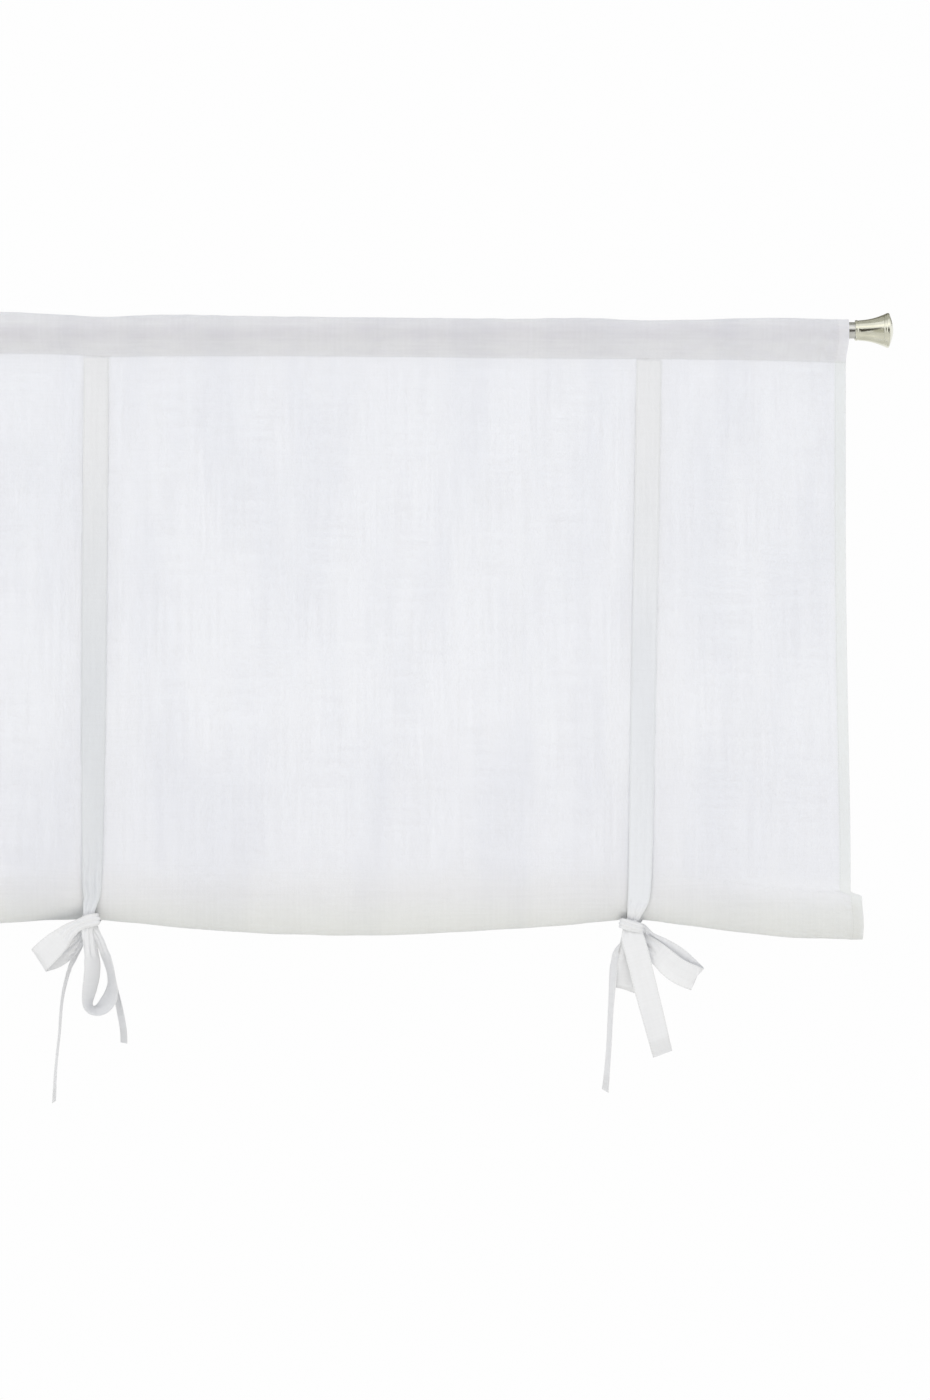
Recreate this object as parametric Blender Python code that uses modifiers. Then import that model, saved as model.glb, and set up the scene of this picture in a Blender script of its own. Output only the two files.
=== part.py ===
"""Roll-up curtain with its rod: a linen panel rolled up towards the back and held by two tied tapes.

Lengths are millimetres and become metres where a mesh is made. The origin lies on the rod's axis at
mid-width, +X runs along the rod, the cloth's front looks along -Y and +Z is up.
"""

from math import cos, pi, radians, sin
from typing import NamedTuple

import bmesh
import bpy
import numpy as np

MM = 0.001
GAP = 0.3

# Rod, a wide tube with a slimmer one that slides in it, and its finials
ROD_WIDE_RADIUS = 9.5
ROD_SLIM_RADIUS = 8.65
ROD_WIDE_LEFT = -497.0
ROD_WIDE_RIGHT = 247.0
ROD_STEP_CHAMFER = 1.0
ROD_SIDES = 24
FINIAL_MOUTH_X = 506.7
FINIAL_LENGTH = 40.4
FINIAL_MOUTH_RADIUS = 10.5
FINIAL_RIM_RADIUS = 18.2
FINIAL_RIM_START = 33.5
FINIAL_RIM_END = 35.5
FINIAL_FLARE_POWER = 2.2
FINIAL_FLARE_STEPS = 8
FINIAL_DOME_POWER = 0.6
FINIAL_DOME_RISES = (0.93, 0.78, 0.5, 0.2)
FINIAL_SOCKET_DEPTH = 18.0

# Cloth panel
CLOTH = 1.2
SEAM_HEIGHT = 2.0
HEM_WIDTH = 12.0
HEM_EXTRA = 0.5
HALF_WIDTH_TOP = 500.0
POCKET_DROP_POWER = 1.5
POCKET_SLACK = 0.5
POCKET_NARROWS = (40.0, 90.0)
POCKET_SHARES = (0.3, 0.6, 0.86)
POCKET_ARC_STEPS = 8
FOLD_RISE = 0.25
FOLD_FALL = 0.2
SHEET_ROWS = 10
ROLL_TURN_STEPS = (14, 13, 12, 4)
ROLL_PITCH_SHARE = 0.105
ROLL_LAST_TURN_PITCH = 1.5
ROLL_SLIDE = 13.6
ROLL_SLIDE_START = 120.0
ROLL_SLIDE_END = 300.0
STATION_COUNT = 29

# Points of a section of the cloth, counted from the turned-in end of the pocket
SEAM_INDEX = 2 * len(POCKET_SHARES) + POCKET_ARC_STEPS + 2

# Ties
TAPE = 1.0
TAPE_WIDTH = 26.0
TAPE_TO_SHEET = 1.3
TAPE_TO_ROLL = 1.5
TAPE_UNDER_ROLL = 2.6
TAPE_END_CLEAR = 0.4
FRONT_STRAP_DROPS = (0.006, 0.12, 0.3, 0.5, 0.7, 0.88)
FRONT_STRAP_START_ANGLE = -8
BACK_STRAP_ANGLES = (184, 166, 148, 130, 112)
BACK_STRAP_BOW = 1.0
BACK_STRAP_NARROWS = 7.0
TAPE_TURN_LIMIT = 13.0
TAPE_STEP_LIMIT = 45.0
CURVE_STEPS = 12
TWIST_WEIGHT = 0.6


class Header(NamedTuple):
    """The pocket across the width: heights of its top and of its seam."""

    x: float
    top: float
    seam: float


HEADER = (
    Header(-500, 13.0, -25.0),
    Header(-389, 19.9, -23.7),
    Header(-325, 17.0, -24.6),
    Header(-279, 14.7, -27.0),
    Header(-226, 16.8, -26.6),
    Header(-120, 15.4, -26.4),
    Header(50, 13.6, -27.4),
    Header(160, 12.7, -28.6),
    Header(238, 13.2, -29.2),
    Header(268, 11.4, -29.3),
    Header(335, 11.6, -29.9),
    Header(420, 13.6, -31.2),
    Header(500, 11.6, -33.5),
)


class RollSection(NamedTuple):
    """The roll across the width: its lowest level, its height and its depth."""

    x: float
    bottom: float
    height: float
    depth: float


ROLL = (
    RollSection(-500, -633.0, 50, 33),
    RollSection(-420, -625.0, 54, 33),
    RollSection(-293, -618.0, 55, 31),
    RollSection(-184, -628.0, 61, 36),
    RollSection(-110, -632.8, 68, 39),
    RollSection(0, -635.0, 71, 41),
    RollSection(120, -629.5, 66, 38),
    RollSection(200, -624.6, 60, 35),
    RollSection(271, -618.0, 55, 31),
    RollSection(350, -627.0, 55, 34),
    RollSection(445, -637.0, 52, 34),
    RollSection(500, -639.0, 49, 33),
)


class EdgeRow(NamedTuple):
    """How far the side edge stands from mid-width at a share of the drop from seam to roll."""

    drop: float
    half_width: float


SIDE_EDGE = (
    EdgeRow(0.0, 497.3),
    EdgeRow(0.45, 497.3),
    EdgeRow(0.65, 498.9),
    EdgeRow(0.85, 500.8),
    EdgeRow(1.0, 501.0),
)


class SoftFold(NamedTuple):
    """A soft upright fold in the sheet: where it lies, how far it stands out and where it fades."""

    x: float
    half_width: float
    depth: float
    start: float
    end: float
    lean: float


SOFT_FOLDS = (
    SoftFold(-440, 34, -1.8, 0.05, 0.95, 6),
    SoftFold(-365, 30, 1.6, 0.15, 0.90, -8),
    SoftFold(-215, 30, 1.8, 0.10, 0.95, 8),
    SoftFold(-138, 32, -2.4, 0.05, 0.98, 10),
    SoftFold(-50, 34, 2.0, 0.20, 0.95, -6),
    SoftFold(58, 22, -2.8, 0.40, 1.00, -4),
    SoftFold(118, 34, 2.6, 0.05, 0.90, 12),
    SoftFold(190, 28, -1.8, 0.10, 0.85, 4),
    SoftFold(345, 28, 1.8, 0.05, 0.85, -6),
    SoftFold(410, 26, -2.2, 0.20, 0.95, 8),
    SoftFold(462, 22, 1.6, 0.10, 0.90, 5),
)


class TapeRow(NamedTuple):
    """A place along a tape, from its knot's centre: across, depth, up, width, and how the width lies.

    turn swings the width direction about the upright from across towards the back, and lean raises it,
    both in degrees.
    """

    across: float
    depth: float
    up: float
    width: float
    turn: float
    lean: float


# The right bow. The front tape goes down through the knot, hangs in a loop behind and ends in the wide
# tail in front. The back tape winds round the knot, makes the loop to the right and ends on the left.
RIGHT_FRONT_BOW = (
    TapeRow(5.0, -2.4, 17, 18, 0, 0),
    TapeRow(3.0, -1.0, 9, 13, 0, 0),
    TapeRow(1.2, -0.5, 3, 13, 0, 0),
    TapeRow(0.6, -0.5, -4, 14, 0, 0),
    TapeRow(-1.2, -0.8, -12, 16, 0, -5),
    TapeRow(-3.0, -0.6, -26, 21, 0, -6),
    TapeRow(-3.2, 2.0, -42, 25, 0, -5),
    TapeRow(-4.2, 2.6, -57, 25, 0, -6),
    TapeRow(-4.8, 2.6, -68, 25, 0, -8),
    TapeRow(-4.8, -4.6, -68, 25, 0, -8),
    TapeRow(-4.2, -5.0, -57, 25, 0, -6),
    TapeRow(-3.0, -5.2, -42, 24, 0, -5),
    TapeRow(-1.8, -4.6, -26, 20, 0, -4),
    TapeRow(-0.5, -3.2, -12, 15, 0, -2),
    TapeRow(0.0, -2.5, -4, 14, 0, 0),
    TapeRow(0.0, -2.5, 3, 14, 0, 0),
    TapeRow(0.0, -2.2, 6.4, 14, 0, 0),
    TapeRow(0.0, -4.7, 6.4, 14, 0, 0),
    TapeRow(0.0, -4.6, 3, 14, 0, 0),
    TapeRow(0.0, -4.6, -3.6, 14.5, 0, 2),
    TapeRow(1.0, -6.8, -10, 21.5, 4, 7),
    TapeRow(3.4, -9.2, -18, 24.5, 8, 13),
    TapeRow(8.4, -11.0, -36, 25, 12, 17),
    TapeRow(14.7, -11.4, -63, 26, 18, 18),
    TapeRow(22.5, -10.6, -92, 26, 26, 18),
    TapeRow(33.0, -8.0, -133, 25.5, 34, 15),
)

RIGHT_BACK_BOW = (
    TapeRow(2, 18.5, 0.6, 16, 0, 0),
    TapeRow(1, 14, 0.2, 10, 0, 16),
    TapeRow(-1.2, 10.4, 0, 8, 0, 38),
    TapeRow(-4.8, 7.8, 0, 8, 0, 66),
    TapeRow(-11.4, 6.2, 0, 8.5, 0, 90),
    TapeRow(-12.6, 0, 0, 9, 0, 90),
    TapeRow(-11.6, -6.2, -0.2, 9, 0, 90),
    TapeRow(-6, -6.8, -0.4, 9, 0, 90),
    TapeRow(0, -6.9, -0.5, 9, 0, 90),
    TapeRow(6, -6.8, -0.8, 9, 0, 90),
    TapeRow(13.0, -6.8, -1.0, 9, 0, 90),
    TapeRow(14.4, -0.5, -1.6, 9, 6, 82),
    TapeRow(15.6, 5.0, -4.5, 9, 20, 66),
    TapeRow(20, 9.0, -11, 12, 20, 56),
    TapeRow(28, 10.2, -20.5, 19, 6, 52),
    TapeRow(42, 10.0, -36, 26, 0, 55),
    TapeRow(56, 9.5, -46, 26.5, 0, 56),
    TapeRow(69, 8.4, -56, 26.5, 0, 56),
    TapeRow(69, -1.6, -56, 26.5, 0, 56),
    TapeRow(56, -3.0, -46, 26.5, 0, 56),
    TapeRow(43, -3.4, -36.5, 26, 0, 55),
    TapeRow(31, -2.2, -28, 22, 0, 52),
    TapeRow(21, 0.0, -20.5, 16, 0, 46),
    TapeRow(13, 2.4, -16.5, 13, 0, 30),
    TapeRow(6.5, 3.2, -13.5, 12, 0, 14),
    TapeRow(2.5, 2.8, -9, 12, 0, 4),
    TapeRow(1.2, 2.3, -3, 12, 0, 0),
    TapeRow(1, 2.1, 3, 12, 0, 0),
    TapeRow(1, 1.8, 6.4, 12, 0, 0),
    TapeRow(1, 4.7, 6.4, 12, 0, 0),
    TapeRow(1, 4.4, 3, 12, 0, 0),
    TapeRow(0, 4.6, -3, 12, 0, 0),
    TapeRow(-3, 5.2, -9, 13, 10, -20),
    TapeRow(-9, 8.6, -16, 15, 36, -20),
    TapeRow(-15.5, 9.0, -26, 20, 60, -8),
    TapeRow(-19.0, 5.5, -42, 25, 70, 0),
    TapeRow(-21, 2.5, -62, 26, 78, 0),
    TapeRow(-23.5, 0.5, -84, 26, 80, 0),
    TapeRow(-25, -0.5, -120, 26, 81, 0),
    TapeRow(-26.3, 0, -155, 26, 80, 0),
    TapeRow(-26.8, 0.5, -172, 26, 74, 0),
)

# The left bow. The front tape hangs in the open loop and ends in the short tail behind it. The back
# tape winds round the knot, makes the loop to the left and ends in the long tail seen edge on.
LEFT_FRONT_BOW = (
    TapeRow(-2.8, 0.2, 18, 12, 0, 0),
    TapeRow(-2.4, -2.8, 10, 10, 0, 0),
    TapeRow(-1.2, -4.6, 3, 12, 0, 0),
    TapeRow(-0.8, -4.4, -4, 11, 0, 0),
    TapeRow(-2.4, -5.6, -12, 12, 20, 0),
    TapeRow(-1.6, -5.4, -22, 15, 44, 0),
    TapeRow(1.0, -4.4, -38, 22, 56, 0),
    TapeRow(1.4, -2.8, -60, 26, 56, 2),
    TapeRow(-2.2, -2.2, -80, 26, 60, 8),
    TapeRow(-0.4, -1.8, -94, 26, 72, 16),
    TapeRow(9.0, -1.6, -98, 26, 86, 20),
    TapeRow(19.0, -1.6, -96, 26, 102, 17),
    TapeRow(24.4, -1.8, -84, 26, 115, 6),
    TapeRow(23.6, -2.2, -66, 26, 120, -3),
    TapeRow(19.0, -2.6, -44, 25, 122, -5),
    TapeRow(14.5, -3.0, -28, 18, 128, -9),
    TapeRow(9.5, -2.6, -16, 12, 142, -14),
    TapeRow(4.4, -1.9, -8, 10, 168, -14),
    TapeRow(1.2, -2.2, -1, 11, 180, -4),
    TapeRow(0.5, -2.4, 4, 12, 180, 0),
    TapeRow(0.5, -2.6, 6.4, 12, 180, 0),
    TapeRow(0.5, 0.2, 6.4, 12, 180, 0),
    TapeRow(0.7, -0.2, 3, 12, 180, 0),
    TapeRow(2.4, -0.2, -2.5, 10.5, 180, 4),
    TapeRow(6.0, 0.4, -8, 10, 174, 8),
    TapeRow(8.6, 3.4, -15, 10.5, 156, 10),
    TapeRow(13.0, 9.0, -25, 12, 130, 8),
    TapeRow(17.5, 11.5, -40, 15, 114, 6),
    TapeRow(24.5, 11.0, -62, 19, 108, 4),
    TapeRow(29.5, 9.0, -83, 24, 106, 3),
    TapeRow(32.6, 7.0, -100, 25, 106, 2),
    TapeRow(35.0, 5.5, -116, 25, 104, 1),
    TapeRow(35.2, 5.0, -127, 25, 98, 0),
)

LEFT_BACK_BOW = (
    TapeRow(-2, 18.5, -2.0, 16, 0, 0),
    TapeRow(-1, 14, -1.2, 10, 0, -16),
    TapeRow(1.2, 10.4, -0.4, 8, 0, -38),
    TapeRow(4.8, 7.8, 0, 8, 0, -66),
    TapeRow(11.4, 6.2, 0, 8.5, 0, -90),
    TapeRow(12.6, 0, 0, 9, 0, -90),
    TapeRow(11.6, -6.2, 0.2, 9, 0, -90),
    TapeRow(6, -6.8, 0.3, 9, 0, -90),
    TapeRow(0, -6.9, 0.2, 9, 0, -90),
    TapeRow(-6, -6.9, 0, 9, 0, -90),
    TapeRow(-11, -6.8, -1.6, 9.5, 0, -78),
    TapeRow(-17.5, -6.8, -6.5, 14, 0, -58),
    TapeRow(-26.5, -7.0, -15, 21, 0, -48),
    TapeRow(-37, -7.0, -25, 26, 0, -47),
    TapeRow(-46, -6.8, -34.5, 27, 0, -50),
    TapeRow(-55, -5.6, -43.5, 27, 0, -56),
    TapeRow(-55, 5.6, -43.5, 27, 0, -58),
    TapeRow(-46, 7.0, -41, 27, 0, -66),
    TapeRow(-35, 6.6, -37, 25, 0, -66),
    TapeRow(-24, 5.6, -31, 20, 0, -60),
    TapeRow(-14, 4.0, -23.5, 14, 0, -48),
    TapeRow(-9, 3.4, -17.5, 10.5, 0, -32),
    TapeRow(-5.8, 2.6, -10, 10, 0, -14),
    TapeRow(-3.6, 2.4, -3, 10.5, 0, 0),
    TapeRow(-1.5, 2.2, 3, 12, 0, 0),
    TapeRow(-1.2, 1.9, 6.4, 12, 0, 0),
    TapeRow(-1.2, 4.8, 6.4, 12, 0, 0),
    TapeRow(-1.4, 4.5, 3, 12, 0, 0),
    TapeRow(-2.4, 4.8, -3, 12, 0, 0),
    TapeRow(-4.6, 7.4, -10, 12, 12, -14),
    TapeRow(-8.5, 13.5, -20, 13, 32, -12),
    TapeRow(-14, 18.0, -31, 15, 55, -8),
    TapeRow(-20.5, 19.0, -45, 20, 68, -4),
    TapeRow(-26, 17.5, -61, 25, 75, -2),
    TapeRow(-30, 14.0, -83, 26, 80, 0),
    TapeRow(-32.3, 11.0, -118, 26, 82, 0),
    TapeRow(-35.4, 9.0, -148, 26, 85, 0),
    TapeRow(-37.7, 8.5, -189, 26, 86, 0),
)


class Tie(NamedTuple):
    """A tie: where its tapes start at the seam, where they cross the roll, and its knot's centre."""

    name: str
    seam_x: float
    roll_x: float
    knot: tuple
    roll_width: float
    front_end_angle: float
    front_bow: tuple
    back_bow: tuple


TIES = (
    Tie("left", -287.7, -290.5, (-293.4, -19.0, -618.0), 20, 8, LEFT_FRONT_BOW, LEFT_BACK_BOW),
    Tie("right", 291.5, 281.0, (271.5, -14.0, -623.0), 23, 14, RIGHT_FRONT_BOW, RIGHT_BACK_BOW),
)


def table_value(rows, column, x):
    """A smooth curve through a table's column, read at x along the table's first column."""
    places = np.array([row[0] for row in rows], float)
    values = np.array([getattr(row, column) for row in rows], float)
    slopes = np.gradient(values, places)
    x = min(max(x, places[0]), places[-1])
    k = min(int(np.searchsorted(places, x, side="right")) - 1, len(rows) - 2)
    span = places[k + 1] - places[k]
    t = (x - places[k]) / span
    return (
        (1 + 2 * t) * (1 - t) ** 2 * values[k]
        + t * (1 - t) ** 2 * span * slopes[k]
        + t * t * (3 - 2 * t) * values[k + 1]
        + t * t * (t - 1) * span * slopes[k + 1]
    )


def smooth_step(value, start, end):
    """0 before start, 1 past end, and an S curve between."""
    t = min(max((value - start) / (end - start), 0.0), 1.0)
    return t * t * (3 - 2 * t)


def pocket_radius(x):
    """The clear radius that the pocket keeps round the rod at x, narrowing past the wide tube's end."""
    narrowed = smooth_step(x, ROD_WIDE_RIGHT + POCKET_NARROWS[0], ROD_WIDE_RIGHT + POCKET_NARROWS[1])
    return ROD_WIDE_RADIUS + (ROD_SLIM_RADIUS - ROD_WIDE_RADIUS) * narrowed + GAP + POCKET_SLACK


def fold_depth(x, drop):
    """How far the soft folds carry the sheet backwards (+) at x and a share of the drop."""
    depth = 0.0
    for fold in SOFT_FOLDS:
        middle = fold.x + fold.lean * (drop - 0.5)
        rise = smooth_step(drop, fold.start, fold.start + FOLD_RISE)
        rise *= smooth_step(-drop, -fold.end, FOLD_FALL - fold.end)
        depth -= fold.depth * rise * np.exp(-(((x - middle) / fold.half_width) ** 2))
    return depth


class PanelSection:
    """The cloth's centre line in the upright plane at one place across the width."""

    def __init__(self, x):
        self.x = x
        self.top = table_value(HEADER, "top", x) - CLOTH / 2
        self.seam = table_value(HEADER, "seam", x)
        self.pocket_half_depth = pocket_radius(x) + CLOTH / 2
        self.half_height = table_value(ROLL, "height", x) / 2 - CLOTH / 2
        self.half_depth = table_value(ROLL, "depth", x) / 2 - CLOTH / 2
        self.roll_centre = table_value(ROLL, "bottom", x) + CLOTH / 2 + self.half_height
        self.pitch = ROLL_PITCH_SHARE * self.half_height

    def pocket_side(self, share):
        """Depth of the pocket's wall at a share of the way from the rod's level to the seam."""
        return CLOTH / 2 + (self.pocket_half_depth - CLOTH / 2) * (1 - share**POCKET_DROP_POWER)

    def sheet_point(self, drop):
        """The sheet at a share of the drop from the seam to the roll's middle: (y, z)."""
        start = self.seam - SEAM_HEIGHT
        forward = CLOTH / 2 + (self.half_depth - CLOTH / 2) * drop
        return (-forward + fold_depth(self.x, drop), start + (self.roll_centre - start) * drop)

    def shrink(self, angle):
        """How far the roll's turns have closed in after an angle in degrees."""
        turns = angle / 360
        return self.pitch * (turns + (ROLL_LAST_TURN_PITCH - 1) * max(turns - 2, 0.0) ** 1.5)

    def roll_point(self, angle, outward=0.0):
        """The roll at an angle from its front, down and under to the back: (y, z)."""
        depth = self.half_depth - self.shrink(angle) + outward
        height = self.half_height - self.shrink(angle) + outward
        a = radians(angle)
        return (-depth * cos(a), self.roll_centre - height * sin(a))

    def centre_line(self):
        """All points from the turned-in hem at the seam, over the rod and down to the roll's inner end."""
        points = [(CLOTH / 2, self.seam)]
        points += [(self.pocket_side(s), s * self.seam) for s in reversed(POCKET_SHARES)]
        for k in range(POCKET_ARC_STEPS + 1):
            a = pi * k / POCKET_ARC_STEPS
            points.append((self.pocket_half_depth * cos(a), self.top * sin(a)))
        points += [(-self.pocket_side(s), s * self.seam) for s in POCKET_SHARES]
        points.append((-CLOTH / 2, self.seam))
        points += [self.sheet_point(k / SHEET_ROWS) for k in range(SHEET_ROWS + 1)]
        points += [PanelSection(self.x + roll_slide(angle)).roll_point(angle) for angle in roll_angles()]
        return np.array(points)


def roll_angles():
    """The angles of the roll's points, after its first one at the front."""
    angles = []
    for turn, steps in enumerate(ROLL_TURN_STEPS):
        share = 1 if turn < 3 else 0.25
        angles += [360 * (turn + share * (k + 1) / steps) for k in range(steps)]
    return angles


def roll_slide(angle):
    """How far the roll's cloth has slid to +X after an angle in degrees."""
    return ROLL_SLIDE * smooth_step(angle, ROLL_SLIDE_START, ROLL_SLIDE_END)


def side_reach():
    """For each point of the centre line, the half-width there and how far the cloth has slid to +X."""
    reach = [(HALF_WIDTH_TOP, 0.0)] * (SEAM_INDEX - 2)
    reach += [(table_value(SIDE_EDGE, "half_width", 0.0), 0.0)] * 3
    for k in range(SHEET_ROWS + 1):
        reach.append((table_value(SIDE_EDGE, "half_width", k / SHEET_ROWS), 0.0))
    reach += [(SIDE_EDGE[-1].half_width, roll_slide(angle)) for angle in roll_angles()]
    return reach


def stations():
    """Places across the width, from -1 to 1: both side hems' lines and an even spread between."""
    hem = 1 - HEM_WIDTH / HALF_WIDTH_TOP
    inner = np.linspace(-hem, hem, STATION_COUNT - 2)
    return [-1.0, *inner, 1.0]


def make_mesh_object(name, vertices, faces):
    """A mesh object from points in millimetres, its faces turned outwards."""
    mesh = bpy.data.meshes.new(name)
    mesh.from_pydata([tuple(MM * c for c in v) for v in vertices], [], faces)
    shape = bmesh.new()
    shape.from_mesh(mesh)
    unused = [vertex for vertex in shape.verts if not vertex.link_faces]
    bmesh.ops.delete(shape, geom=unused, context="VERTS")
    bmesh.ops.recalc_face_normals(shape, faces=shape.faces)
    shape.to_mesh(mesh)
    shape.free()
    mesh.shade_smooth()
    return bpy.data.objects.new(name, mesh)


def build_panel():
    """The cloth as one closed loft: an outer and an inner side, joined at the pocket's seam."""
    reach = side_reach()
    count = len(reach)
    vertices = []
    for share in stations():
        section = PanelSection(share * HALF_WIDTH_TOP)
        line = section.centre_line()
        heading = np.gradient(line, axis=0)
        heading /= np.linalg.norm(heading, axis=1)[:, None]
        outward = np.stack([heading[:, 1], -heading[:, 0]], axis=1)
        half = (CLOTH + (HEM_EXTRA if abs(share) == 1.0 else 0.0)) / 2
        outer = line + half * outward
        inner = line - half * outward
        inner[SEAM_INDEX] = (0.0, section.seam)
        inner[SEAM_INDEX + 1] = (0.0, section.seam - SEAM_HEIGHT)
        for side in (outer, inner):
            for (y, z), (half_width, slide) in zip(side, reach):
                vertices.append((share * half_width + slide, y, z))

    def inner_at(station, index):
        """A point of the inner side, whose first point is the pocket's front at the seam."""
        return count * (2 * station + 1) + (index or SEAM_INDEX)

    def outer_at(station, index):
        """A point of the outer side, whose first point is the sheet's back just under the seam."""
        return count * 2 * station + index if index else inner_at(station, SEAM_INDEX + 1)

    faces = []
    last = len(stations()) - 1
    end = count - 1
    for s in range(last):
        for k in range(end):
            faces.append((outer_at(s, k), outer_at(s, k + 1), outer_at(s + 1, k + 1), outer_at(s + 1, k)))
            if k != SEAM_INDEX:
                faces.append((inner_at(s, k), inner_at(s + 1, k), inner_at(s + 1, k + 1), inner_at(s, k + 1)))
        faces.append((outer_at(s, end), inner_at(s, end), inner_at(s + 1, end), outer_at(s + 1, end)))
    for s in (0, last):
        for k in range(end):
            faces.append((outer_at(s, k), inner_at(s, k), inner_at(s, k + 1), outer_at(s, k + 1)))
    return make_mesh_object("curtain_panel", vertices, faces)


def width_direction(row):
    """The unit vector along a tape's width at a row."""
    turn, lean = radians(row.turn), radians(row.lean)
    return np.array([cos(lean) * cos(turn), cos(lean) * sin(turn), sin(lean)])


def bow_rows(tie, bow):
    """A bow's rows as (centre, width, width direction) in the part's frame."""
    return [
        (np.array(tie.knot) + (row.across, row.depth, row.up), row.width, width_direction(row)) for row in bow
    ]


def strap_x(tie, z):
    """Where a tie's strap lies across the width at a level, drifting from the seam to the roll."""
    section = PanelSection(tie.roll_x)
    share = (section.seam - z) / (section.seam - section.roll_centre)
    return tie.seam_x + (tie.roll_x - tie.seam_x) * min(max(share, 0.0), 1.0)


def front_strap(tie):
    """The front tape's rows from the seam to the knot, just clear of the cloth."""
    across = np.array([1.0, 0.0, 0.0])
    rows = []
    for drop in FRONT_STRAP_DROPS:
        z = PanelSection(tie.roll_x).sheet_point(drop)[1]
        x = strap_x(tie, z)
        y = PanelSection(x).sheet_point(drop)[0]
        clear = TAPE_END_CLEAR if drop == FRONT_STRAP_DROPS[0] else TAPE_TO_SHEET
        rows.append((np.array([x, y - CLOTH / 2 - clear - TAPE / 2, z]), TAPE_WIDTH, across))
    section = PanelSection(tie.roll_x)
    outward = CLOTH / 2 + TAPE_TO_ROLL + TAPE / 2
    for angle, width in ((FRONT_STRAP_START_ANGLE, TAPE_WIDTH), (tie.front_end_angle, tie.roll_width)):
        y, z = section.roll_point(max(angle, 0), outward)
        z -= section.half_height * sin(radians(min(angle, 0)))
        x = tie.roll_x + (tie.knot[0] - tie.roll_x) * (angle - FRONT_STRAP_START_ANGLE) / 90
        rows.append((np.array([x, y, z]), width, across))
    return rows


def back_strap(tie):
    """The back tape's rows from the seam, straight down to the roll's back and under it."""
    across = np.array([1.0, 0.0, 0.0])
    section = PanelSection(tie.roll_x)
    top_z = PanelSection(tie.seam_x).seam - SEAM_HEIGHT - GAP
    outward = CLOTH / 2 + TAPE_UNDER_ROLL + TAPE / 2
    back_y, back_z = section.roll_point(180, outward)
    middle = ((tie.seam_x + tie.roll_x) / 2, back_y / 2 + BACK_STRAP_BOW, (top_z + back_z) / 2)
    rows = [(np.array([tie.seam_x, TAPE_END_CLEAR + TAPE / 2, top_z]), TAPE_WIDTH, across)]
    rows.append((np.array(middle), TAPE_WIDTH, across))
    for angle in BACK_STRAP_ANGLES:
        y, z = section.roll_point(min(angle, 180), outward)
        z += section.half_height * sin(radians(max(angle - 180, 0)))
        share = (BACK_STRAP_ANGLES[0] - angle) / 90
        x = tie.roll_x + (tie.knot[0] - tie.roll_x) * share
        rows.append((np.array([x, y, z]), TAPE_WIDTH - BACK_STRAP_NARROWS * share, across))
    return rows


def drawn_curve(values):
    """A cubic B-spline that the rows of values draw: it starts and ends on the outer ones."""
    values = np.array([2 * values[0] - values[1], *values, 2 * values[-1] - values[-2]])
    curve = []
    for k in range(len(values) - 3):
        for t in np.arange(CURVE_STEPS) / CURVE_STEPS:
            weights = ((1 - t) ** 3, 3 * t**3 - 6 * t**2 + 4, 1 + 3 * t + 3 * t**2 - 3 * t**3, t**3)
            curve.append(np.dot(weights, values[k : k + 4]) / 6)
    return np.array([*curve, values[-2]])


def tape_path(rows):
    """Centres, widths and width directions, close together where the tape bends or twists."""
    across = [rows[0][2]]
    for row in rows[1:]:
        across.append(row[2] if np.dot(row[2], across[-1]) >= 0 else -row[2])
    fine = drawn_curve([np.array([*row[0], row[1], *lie]) for row, lie in zip(rows, across)])
    path, sizes, lies = fine[:, :3], fine[:, 3], fine[:, 4:]
    heading = np.gradient(path, axis=0)
    heading /= np.linalg.norm(heading, axis=1)[:, None]
    lies -= heading * np.sum(lies * heading, axis=1)[:, None]
    lies /= np.linalg.norm(lies, axis=1)[:, None]
    kept = [0]
    bend = length = 0.0
    for k in range(1, len(fine)):
        length += np.linalg.norm(path[k] - path[k - 1])
        bend += np.degrees(np.arccos(np.clip(heading[k] @ heading[k - 1], -1, 1)))
        bend += TWIST_WEIGHT * np.degrees(np.arccos(np.clip(lies[k] @ lies[k - 1], -1, 1)))
        if bend >= TAPE_TURN_LIMIT or length >= TAPE_STEP_LIMIT or k == len(fine) - 1:
            kept.append(k)
            bend = length = 0.0
    return path[kept], sizes[kept], lies[kept]


def build_tape(name, rows):
    """A tape: an open strip along its path, made solid by a Solidify modifier."""
    path, sizes, lies = tape_path(rows)
    vertices = []
    for centre, size, lie in zip(path, sizes, lies):
        vertices.append(centre - lie * size / 2)
        vertices.append(centre + lie * size / 2)
    faces = [(2 * k, 2 * k + 1, 2 * k + 3, 2 * k + 2) for k in range(len(path) - 1)]
    tape = make_mesh_object(name, vertices, faces)
    thicken = tape.modifiers.new("thickness", "SOLIDIFY")
    thicken.thickness = TAPE * MM
    thicken.offset = 0.0
    return tape


def build_turned(name, profile, sides):
    """A turned piece: a profile of (radius, height) rows, outer side first, screwed about its axis."""
    mesh = bpy.data.meshes.new(name)
    mesh.from_pydata(
        [(r * MM, 0.0, h * MM) for r, h in profile], [(k, k + 1) for k in range(len(profile) - 1)], []
    )
    piece = bpy.data.objects.new(name, mesh)
    turn = piece.modifiers.new("turn", "SCREW")
    turn.axis = "Z"
    turn.steps = sides
    turn.render_steps = sides
    turn.use_merge_vertices = True
    turn.merge_threshold = 0.00001
    turn.use_smooth_shade = True
    return piece


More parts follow.
